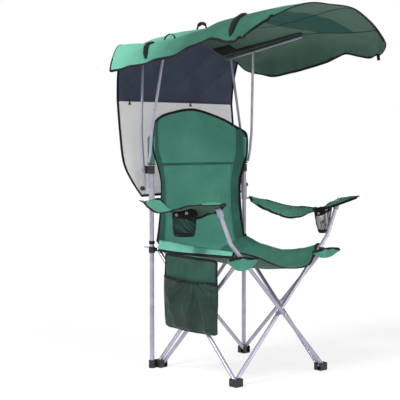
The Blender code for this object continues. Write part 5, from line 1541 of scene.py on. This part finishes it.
def webbing_wrap(name, centre, radius, low, high, body):
    """A band of webbing wrapped round an upright tube."""
    count = 28
    frames = []
    for i in range(count):
        angle = math.tau * i / count
        out = Vector((math.cos(angle), math.sin(angle), 0))
        spot = Vector((centre.x, centre.y, (low + high) / 2)) + out * (radius + WRAP_GAP + WRAP_THICKNESS / 2)
        frames.append((spot, Vector((0, 0, 1)), out))
    band = sweep(name, frames, tape_section(WRAP_THICKNESS, high - low), WEBBING, closed=True)
    settle(band, body, finish="black_webbing")


def build_wraps():
    """The webbing loop round each post above its slider."""
    for side in (RIGHT, LEFT):
        word = SIDE_WORDS[side]
        post = Vector((side * POST_X, POST_Y, 0))
        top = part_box(f"slider_{word}")[1].z
        webbing_wrap(f"slider_loop_{word}", post, POST_RADIUS, top + 0.002, top + 0.014,
                     f"{word}_post")


# Finish of the CAD nodes

NODE_FINISHES = {
    "painted_steel": STEEL, "zinc_steel": ZINC, "black_plastic": PLASTIC, "green_cloth": GREEN,
    "black_mesh": BLACK_NET, "slate_cloth": SLATE, "pale_mesh": PALE_NET, "black_webbing": WEBBING,
}


def finish_nodes():
    """Gives each CAD node that stays a finish by its slot."""
    for part in frame["record"]["subparts"]:
        made = NODES[part["node"]]
        material = NODE_FINISHES[part["material_slot"]]
        if part["node"].startswith(("arm_end_cap", "arm_bracket")):
            material = CAP
        if not made.material_slots:
            made.data.materials.append(material)
        for place in made.material_slots:
            place.link = "OBJECT"
            place.material = material


# Floor, light and camera

SKY_LIGHT = 0.34
FLOOR_GLOW = 0.80
# Each softbox: its name, the way towards it, its strength and its spread in degrees
SOFTBOXES = (("left_softbox", (-0.69, 0.02, 0.72), 3.5, 20),
             ("front_softbox", (0.05, -0.88, 0.46), 1.95, 40))
FLOOR_SIZE = 60.0
FLOOR_DROP = 0.0006
FLOOR_WHITE = colour(108, 108, 109)


def build_floor():
    """A pale floor that keeps the shadow and glows just enough to be white."""
    mesh = bpy.data.meshes.new("floor")
    size = FLOOR_SIZE
    mesh.from_pydata([(-size, -size, 0), (size, -size, 0), (size, size, 0), (-size, size, 0)], [],
                     [(0, 1, 2, 3)])
    graph = Graph("floor_paper")
    grain = graph.noise(graph.place(), 40.0)
    graph.set(Base_Color=graph.mix(grain, FLOOR_WHITE, colour(112, 112, 113)), Roughness=0.9,
              Specular_IOR_Level=0.1, Emission_Color=colour(255, 255, 255),
              Emission_Strength=FLOOR_GLOW)
    mesh.materials.append(graph.material)
    floor = bpy.data.objects.new("floor", mesh)
    floor.location.z = -FLOOR_DROP
    bpy.context.scene.collection.objects.link(floor)


def add_sun(name, towards, strength, spread):
    """A soft far light from a direction."""
    light = bpy.data.lights.new(name, "SUN")
    light.energy = strength
    light.angle = math.radians(spread)
    lamp = bpy.data.objects.new(name, light)
    lamp.rotation_euler = Vector(towards).to_track_quat("Z", "Y").to_euler()
    bpy.context.scene.collection.objects.link(lamp)


def build_light():
    """Two softboxes, and a sky that the camera sees as white."""
    for softbox in SOFTBOXES:
        add_sun(*softbox)
    world = bpy.data.worlds.new("studio")
    world.use_nodes = True
    tree = world.node_tree
    tree.nodes.clear()
    paths = tree.nodes.new("ShaderNodeLightPath")
    seen = tree.nodes.new("ShaderNodeMath")
    seen.operation = "MAXIMUM"
    tree.links.new(paths.outputs["Is Camera Ray"], seen.inputs[0])
    tree.links.new(paths.outputs["Is Transmission Ray"], seen.inputs[1])
    bright = tree.nodes.new("ShaderNodeMapRange")
    bright.inputs[3].default_value = SKY_LIGHT
    bright.inputs[4].default_value = 1.0
    tree.links.new(seen.outputs[0], bright.inputs[0])
    background = tree.nodes.new("ShaderNodeBackground")
    background.inputs[0].default_value = (1.0, 1.0, 1.0, 1.0)
    tree.links.new(bright.outputs[0], background.inputs[1])
    out = tree.nodes.new("ShaderNodeOutputWorld")
    tree.links.new(background.outputs[0], out.inputs[0])
    bpy.context.scene.world = world


CAMERA_PLACE = (-2.8122, -2.8427, 0.8749)
CAMERA_TURN = math.radians(48.428)
CAMERA_TILT = math.radians(-3.171)
CAMERA_LENS = 95.84


def build_camera():
    """The camera at the photograph's viewing angle."""
    data = bpy.data.cameras.new("photo_view")
    data.lens = CAMERA_LENS
    data.sensor_width = 36
    camera = bpy.data.objects.new("photo_view", data)
    camera.location = CAMERA_PLACE
    level = math.cos(CAMERA_TILT)
    towards = Vector((math.cos(CAMERA_TURN) * level, math.sin(CAMERA_TURN) * level,
                      math.sin(CAMERA_TILT)))
    camera.rotation_euler = towards.to_track_quat("-Z", "Y").to_euler()
    bpy.context.scene.collection.objects.link(camera)
    bpy.context.scene.camera = camera


def main():
    """Dresses the chair and sets up the floor, light and camera."""
    finish_nodes()
    build_canopy()
    build_shade()
    build_back()
    build_seat()
    for side in (RIGHT, LEFT):
        build_arm(side)
    build_bag()
    build_wraps()
    build_floor()
    build_light()
    build_camera()
    bpy.context.scene.view_settings.view_transform = "Standard"


main()
